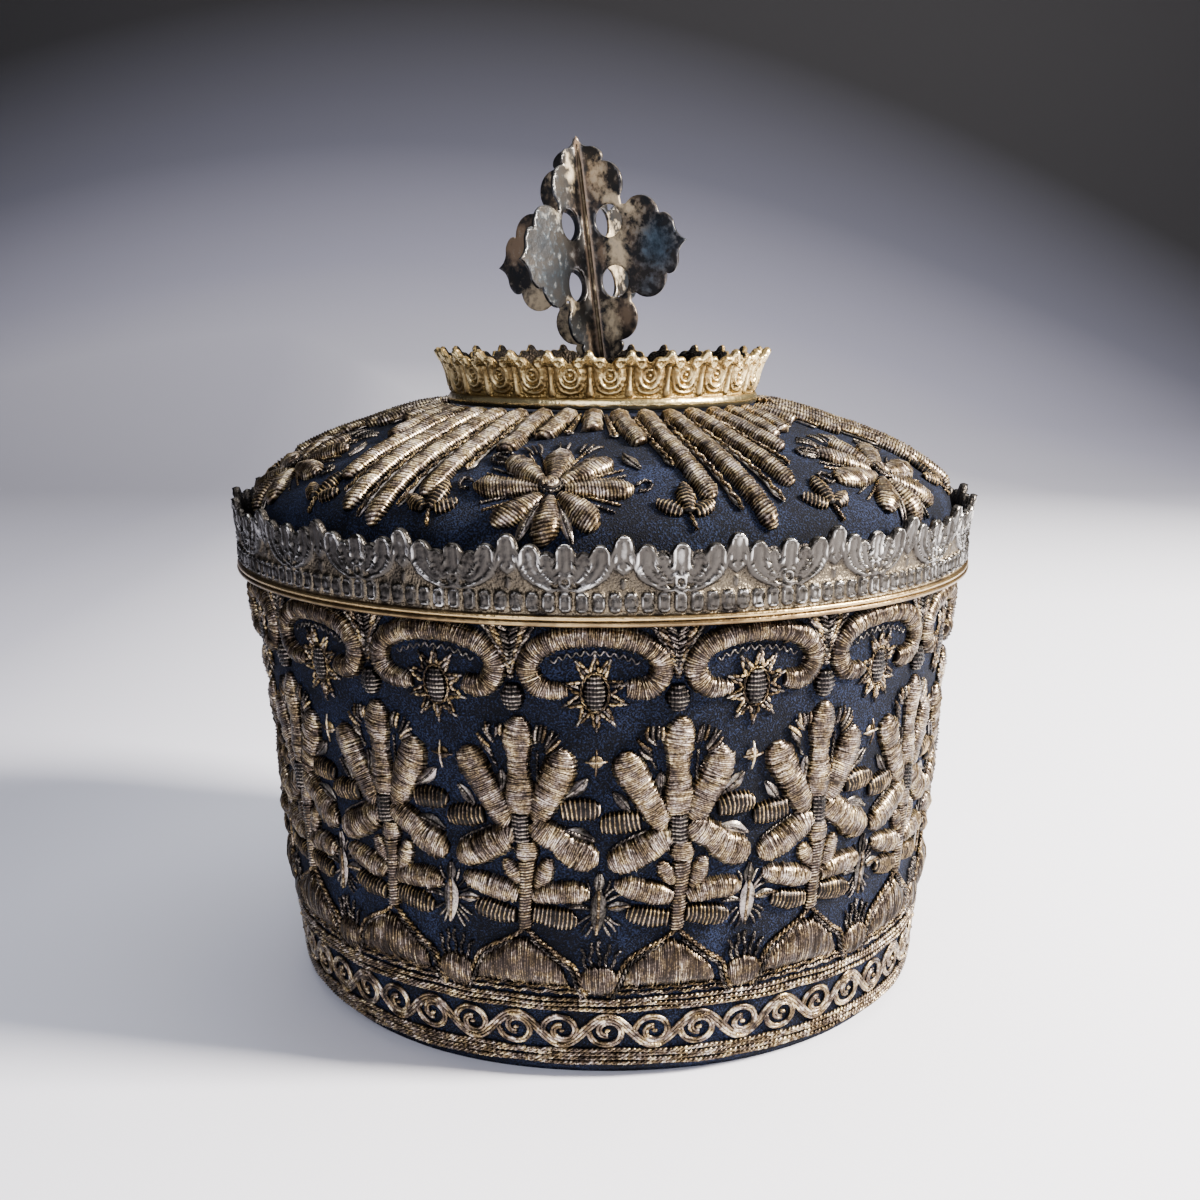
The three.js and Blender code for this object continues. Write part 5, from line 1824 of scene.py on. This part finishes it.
@dataclass
class StandingCross:
    """Two silver sheets cut to a cross, folded lengthwise and set back to back on a post."""

    centre: tuple[float, float, float] = (-4.5, 0.0, 227.4)
    lean: float = 6.9
    first_wing: float = -33.5
    sheet: float = 0.9
    fold: float = 1.5
    arm: float = 36.0
    edge_rows: Rows = (
        (0, 36), (1.5, 33.9), (3.6, 32.6), (6.3, 32.1), (8.6, 30.4), (9.2, 28.6), (8.6, 27.5),
    )
    lobe: tuple[float, float, float] = (8.6, 20.6, 6.8)
    lobe_turns: tuple[float, float] = (80.0, -44.0)
    notch: float = 13.7
    hole: tuple[float, float, float] = (8.8, 9.3, 5.0)
    grain: float = 1.1
    spine_radius: float = 0.65
    spine_top: float = 33.5
    foot_radius: float = 7.0
    foot_bottom: float = 183.0
    foot_thickness: float = 1.2
    post_radius: float = 1.5
    warp: float = 0.6
    # Front sheet: u above 0 is the wing to the right, u below 0 the wing to the left. Soot lies along the
    # fold, crust where solder ran, and bloom where heat turned the bare silver blue.
    front: tuple[tuple[str, Rows], ...] = (
        (
            "soot",
            ((0, 0, 3.6, 90, 1.5), (6, 22, 7, 15, 0.75), (5, 0, 3, 8, 0.9), (11, -20, 8, 8, 0.8))
            + ((16, 3, 5, 5, 0.3), (-6, 14, 6, 10, 0.45), (-5, -26, 5, 10, 0.7), (-9, 0, 7, 12, 0.3))
            + ((22, 0, 22, 60, 0.35),),
        ),
        (
            "crust",
            ((11, 0, 6.5, 15, 1.0), (14, 14, 11, 4.5, 1.0, -28), (7, 24, 6, 14, 0.6), (20, 6, 8, 9, 0.35))
            + ((6, -22, 6, 14, 0.9), (14, -15, 4, 5, 0.5), (-5, 25, 5, 12, 0.65), (-13, -15, 7, 5, 0.8))
            + ((-16, 13, 5, 5, 0.3),),
        ),
        ("bloom", ((25, 0, 12, 14, 0.8), (20, -12, 8, 7, 0.4), (-22, 0, 46, 60, 0.2))),
    )
    # Back sheet: u above 0 is the wing behind to the left, u below 0 the wing behind to the right. The pale
    # crust on the wing behind to the right is partly painted reflection, where that face catches the light.
    back: tuple[tuple[str, Rows], ...] = (
        ("soot", ((26, 7, 16, 13, 1.2), (9, 19, 9, 14, 0.6))),
        (
            "crust",
            ((20, -13, 15, 10, 1.0), (8, -23, 10, 13, 1.0), (-12, 0, 14, 18, 1.0), (-8, -22, 8, 10, 0.7))
            + ((8, 22, 7, 14, 0.45),),
        ),
        ("bloom", ()),
    )

    def outline(self) -> Array:
        """Half the edge of the cross from its top to its foot: an eighth, then its mirror images."""
        u, v, r = self.lobe
        turn = np.radians(np.linspace(*self.lobe_turns, 12))
        round_lobe = np.stack([u + r * np.cos(turn), v + r * np.sin(turn)], 1)
        tip = smooth(np.array(self.edge_rows, float), 3)
        eighth = np.vstack([tip, round_lobe, (self.notch, self.notch)])
        upper = np.vstack([eighth, eighth[::-1][1:, ::-1]])
        return np.vstack([upper, (upper * (1, -1))[::-1][1:]])

    def half(self) -> tuple[Array, Array]:
        """Half a cross as flat points with triangles between them, two round holes left open.

        Returns:
            The points, as distance from the fold and height over the middle, and the triangles.
        """
        edge = self.outline()
        low, high = edge[-1, 1], edge[0, 1]
        fold = np.linspace(low, high, int((high - low) / self.grain))[1:-1]
        loop = np.vstack([edge, np.stack([np.zeros(len(fold)), fold], 1)])
        hole_u, hole_v, hole_r = self.hole
        turn = np.linspace(0, 2 * np.pi, 36, endpoint=False)
        ring = np.stack([hole_r * np.cos(turn), hole_r * np.sin(turn)], 1)
        holes = [ring + (hole_u, hole_v), ring + (hole_u, -hole_v)]
        bands = np.concatenate([[0.45, 0.95, 1.6, 2.4, 3.3], np.arange(4.3, self.arm, self.grain)])
        heights = np.arange(-self.arm, self.arm, self.grain)
        inner = np.stack(np.meshgrid(bands, heights), -1).reshape(-1, 2)
        for middle in ((hole_u, hole_v), (hole_u, -hole_v)):
            inner = inner[np.linalg.norm(inner - middle, axis=1) > hole_r + 0.4]
        loops, start = [], 0
        for ring_points in (loop, *holes):
            loops.append(list(range(start, start + len(ring_points))))
            start += len(ring_points)
        flat = np.vstack([loop, *holes, inner])
        made = delaunay_2d_cdt([Vector(point) for point in flat.tolist()], [], loops, 2, 1e-4)
        points = np.array([tuple(point) for point in made[0]])
        triangles = np.array([face for face in made[2] if len(face) == 3])
        used, triangles = np.unique(triangles, return_inverse=True)
        return points[used], triangles.reshape(-1, 3)

    def bend(self, u: Array, v: Array, first: float) -> Array:
        """Folds a sheet along its middle: u below 0 goes along one wing and u above 0 along the next.

        Near the fold the sheet follows a round bend; farther out each wing is straight, with a slight warp.

        Args:
            u: the points' distances from the fold.
            v: their heights over the middle of the cross.
            first: the direction of the wing with u above 0, in degrees from +X to +Y.

        Returns:
            The points, from the middle of the upright cross.
        """
        away = np.abs(u)
        inset = self.fold * (1 - np.clip(away / (2.2 * self.fold), 0, 1)) ** 2
        azimuth = np.radians(np.where(u > 0, first, first - 90))
        middle = math.radians(first - 45)
        warp = self.warp * np.sin(away / 9 + v / 13) * np.clip(away / 20, 0, 1)
        x = away * np.cos(azimuth) - warp * np.sin(azimuth) + inset * math.cos(middle)
        y = away * np.sin(azimuth) + warp * np.cos(azimuth) + inset * math.sin(middle)
        return np.stack([x, y, v], -1)

    def stand(self, points: Array) -> Array:
        """Leans points of the upright cross to -X and sets its middle in place."""
        lean = math.radians(self.lean)
        x = points[..., 0] * math.cos(lean) - points[..., 2] * math.sin(lean)
        z = points[..., 0] * math.sin(lean) + points[..., 2] * math.cos(lean)
        return np.stack([x, points[..., 1], z], -1) + np.array(self.centre)

    def build(self, cap: SoftCap) -> None:
        """Makes the two folded sheets as one piece, then the post; the cap is not used."""
        piece = Piece("folded_cross", (CROSS_SILVER,))
        flat, triangles = self.half()
        stains: dict[str, list[Array]] = {"soot": [], "crust": [], "bloom": []}
        for first, charts in ((self.first_wing, self.front), (self.first_wing + 180, self.back)):
            for side in (-1, 1):
                u, v = flat[:, 0] * side, flat[:, 1]
                points = self.stand(self.bend(np.where(u == 0, side * 1e-6, u), v, first))
                piece.add(points, [triangles if side > 0 else triangles[:, ::-1]], CROSS_SILVER)
                for name, patches in charts:
                    stains[name].append(sum((Stain(*row).at(u, v) for row in patches), np.zeros(len(u))))
        piece.extras = {name: np.concatenate(values) for name, values in stains.items()}
        self.thicken(piece.build(("finial_cross",), "cross_silver"))
        self.build_post()

    def thicken(self, sheet: bpy.types.Object) -> None:
        """Welds the halves of the sheets and gives them their thickness."""
        weld = sheet.modifiers.new("weld", "WELD")
        weld.merge_threshold = 0.02 * MM
        solid = sheet.modifiers.new("thickness", "SOLIDIFY")
        solid.thickness = self.sheet * MM
        solid.offset = 0

    def build_post(self) -> None:
        """Makes the beads along the folds, the post between them and the disc that the cross stands on."""
        piece = Piece("cross_post", (SPINE_BRASS,))
        drop = (self.centre[2] - self.foot_bottom) / math.cos(math.radians(self.lean))
        v = np.linspace(-drop + 0.3, self.spine_top, 40)
        for turn in (self.first_wing - 45, self.first_wing + 135, None):
            out = 0.0 if turn is None else self.fold + self.spine_radius * 0.6
            aim = math.radians(turn or 0.0)
            inside = v if turn is None else v[v > -self.arm + 2]
            upright = np.broadcast_arrays(out * math.cos(aim), out * math.sin(aim), inside)
            path = self.stand(np.stack(upright, 1))[None]
            ups = np.broadcast_to(np.array([0.0, -1.0, 0.0]), path.shape)
            post = inside < -self.arm if turn is None else np.zeros(len(inside), bool)
            taper = np.clip((self.spine_top - inside) / 6, 0.3, 1)
            thick = np.where(post, self.post_radius, self.spine_radius * taper)
            points, faces = tubes(path, ups, thick, thick, 12)
            piece.add(points, faces, SPINE_BRASS)
        foot_x = self.centre[0] + math.tan(math.radians(self.lean)) * (self.centre[2] - self.foot_bottom)
        low, high = self.foot_bottom, self.foot_bottom + self.foot_thickness
        rim = ((0.01, low), (self.foot_radius, low), (self.foot_radius, high))
        steps = np.array((*rim, (2.2, high + 0.2), (0.01, high + 0.6)))
        turn = np.linspace(0, 2 * np.pi, 32, endpoint=False)
        x, y = foot_x + steps[:, :1] * np.cos(turn), steps[:, :1] * np.sin(turn)
        disc = np.stack(np.broadcast_arrays(x, y, steps[:, 1:]), -1).reshape(-1, 3)
        piece.add(disc, [sheet_faces(len(steps), len(turn), wrap_columns=True)], SPINE_BRASS)
        amounts = {"crust": 0.2, "soot": 0.55, "bloom": 0.0}
        piece.extras = {name: np.full(piece.count, amount) for name, amount in amounts.items()}
        piece.build((), "cross_silver")


# ---- The studio ----


class Softness(Enum):
    """How large a lamp is, in metres, which sets how soft its shadows are."""

    SMALL = 0.35
    WIDE = 1.2


@dataclass(frozen=True)
class Lamp:
    """A square lamp that faces the crown: its place in metres, its power in watts, size and colour."""

    name: str
    place: tuple[float, float, float]
    power: float
    softness: Softness
    colour: str


@dataclass
class Studio:
    """A pale sweep of floor and backdrop, soft lamps and the camera.

    The camera's distance and height are in mm, its pitch in radians, the rest of the stage in metres.
    """

    distance: float = 468.64
    height: float = 207.20
    pitch: float = 0.191606
    lens: float = 43.33
    sensor: float = 36.0
    axis_pixel: float = 603.0
    image: float = 1200.0
    aim_height: float = 0.12
    lamps: tuple[Lamp, ...] = (
        Lamp("key", (1.38, -0.31, 0.94), 174.0, Softness.SMALL, "#FFF6EA"),
        Lamp("fill", (-0.3, -1.45, 0.8), 18.0, Softness.WIDE, "#F4F4FF"),
        Lamp("top", (0.1, 0.3, 1.3), 17.0, Softness.WIDE, "#FFFFFF"),
    )
    air: str = "#A6A9B2"
    air_strength: float = 0.2
    floor_front: float = -3.0
    half_width: float = 3.5
    bend_start: float = 1.3
    bend: float = 0.8
    # glow_x, glow_spread, left_shade and tones paint a glow and its falloff into the paper: painted light and
    # shade.
    glow_x: float = -0.35
    glow_spread: float = 0.25
    left_shade: float = 0.2
    tones: tuple[tuple[float, str], ...] = (
        (0.0, "#F1F3FF"),
        (0.15, "#A2A4B4"),
        (0.3, "#7F8194"),
        (0.5, "#4D4F5E"),
        (0.75, "#15161C"),
    )

    def build(self) -> None:
        """Sets up the stage."""
        self.add_camera()
        self.add_sweep()
        for lamp in self.lamps:
            self.add_lamp(lamp)
        world = bpy.data.worlds.new("studio air")
        world.use_nodes = True
        air = world.node_tree.nodes["Background"].inputs
        air["Color"].default_value = linear(self.air)
        air["Strength"].default_value = self.air_strength
        bpy.context.scene.world = world

    def add_camera(self) -> None:
        """Looks level across the crown and a little down; the shift sets the axis on its own column."""
        data = bpy.data.cameras.new("camera")
        data.lens = self.lens
        data.sensor_width = self.sensor
        data.sensor_fit = "HORIZONTAL"
        data.shift_x = -(self.axis_pixel - self.image / 2) / self.image
        data.clip_start = 0.01
        camera = bpy.data.objects.new("camera", data)
        camera.location = (0, -self.distance * MM, self.height * MM)
        camera.rotation_euler = (math.pi / 2 - self.pitch, 0, 0)
        bpy.context.scene.collection.objects.link(camera)
        bpy.context.scene.camera = camera

    def add_lamp(self, lamp: Lamp) -> None:
        """Adds a lamp and turns it to the middle of the crown."""
        data = bpy.data.lights.new(lamp.name, "AREA")
        data.energy = lamp.power
        data.size = lamp.softness.value
        data.color = linear(lamp.colour)[:3]
        thing = bpy.data.objects.new(lamp.name, data)
        thing.location = lamp.place
        aim = np.array([0, 0, self.aim_height]) - np.array(lamp.place)
        flat = math.hypot(aim[0], aim[1])
        thing.rotation_euler = (math.pi / 2 + math.atan2(aim[2], flat), 0, math.atan2(-aim[0], aim[1]))
        bpy.context.scene.collection.objects.link(thing)

    def add_sweep(self) -> None:
        """Lays a floor that curves up into a backdrop, as one sheet of matt grey paper.

        Light and shade are painted into its colour: painted shade darkens the floor to the left, and behind,
        a painted glow round glow_x fades to painted shade upwards and sideways: the place on the scale of
        tones is glow_spread times the squared distance from it, plus the height in metres.
        """
        turn = np.linspace(0, np.pi / 2, 12)
        y = self.bend_start + self.bend * np.sin(turn)
        y = np.hstack([self.floor_front, y, y[-1]])
        z = np.hstack([0.0, self.bend * (1 - np.cos(turn)), self.half_width])
        x = np.array([-self.half_width, self.half_width])
        points = np.stack(np.broadcast_arrays(x[None, :], y[:, None], z[:, None]), -1).reshape(-1, 3)
        mesh = bpy.data.meshes.new("paper_sweep")
        mesh.from_pydata(points.tolist(), [], sheet_faces(len(y), 2).tolist())
        mesh.polygons.foreach_set("use_smooth", np.full(len(mesh.polygons), True))
        paper = bpy.data.materials.new("studio paper with painted light")
        paper.use_nodes = True
        tree = paper.node_tree
        where = add_node(tree, "TexCoord").outputs["Object"]
        place = add_node(tree, "SeparateXYZ", {"Vector": where}).outputs
        spread = add_node(tree, "Math", {0: place["X"], 1: self.glow_x}, operation="SUBTRACT")
        square = add_node(tree, "Math", {0: spread, 1: spread}, operation="MULTIPLY")
        wide = {0: square, 1: self.glow_spread, 2: place["Z"]}
        dim = add_node(tree, "Math", wide, operation="MULTIPLY_ADD")
        behind = add_node(tree, "MapRange", {"Value": place["Y"], 1: 0.6, 2: 1.6})
        fade = add_node(tree, "Math", {0: dim, 1: behind}, operation="MULTIPLY")
        left = add_node(tree, "MapRange", {"Value": place["X"], 1: -0.05, 2: -0.5, 4: self.left_shade})
        shade = add_node(tree, "Math", {0: left, 1: fade}, operation="MAXIMUM")
        ramp = add_node(tree, "ValToRGB", {"Fac": shade})
        stops = ramp.color_ramp.elements
        stops[0].color = linear(self.tones[0][1])
        stops[1].position, stops[1].color = self.tones[-1][0], linear(self.tones[-1][1])
        for position, tone in self.tones[1:-1]:
            stops.new(position).color = linear(tone)
        shader = tree.nodes["Principled BSDF"]
        tree.links.new(ramp.outputs["Color"], shader.inputs["Base Color"])
        shader.inputs["Roughness"].default_value = 0.8
        mesh.materials.append(paper)
        sweep = bpy.data.objects.new("paper_sweep", mesh)
        bpy.context.scene.collection.objects.link(sweep)


def main() -> None:
    """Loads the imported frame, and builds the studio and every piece."""
    logging.basicConfig(level=logging.INFO, format="%(name)s: %(message)s")
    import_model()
    Studio().build()
    cap = SoftCap()
    cap.build()
    for work in (HemWork(), TreeWork(), ArchWork(), FlowerWork(), RibWork()):
        work.build(cap)
    for metalwork in (ShoulderBand(), TopCoronet(), StandingCross()):
        metalwork.build(cap)
    LOG.info("all pieces: %d triangles", Piece.total)


if __name__ == "__main__":
    main()
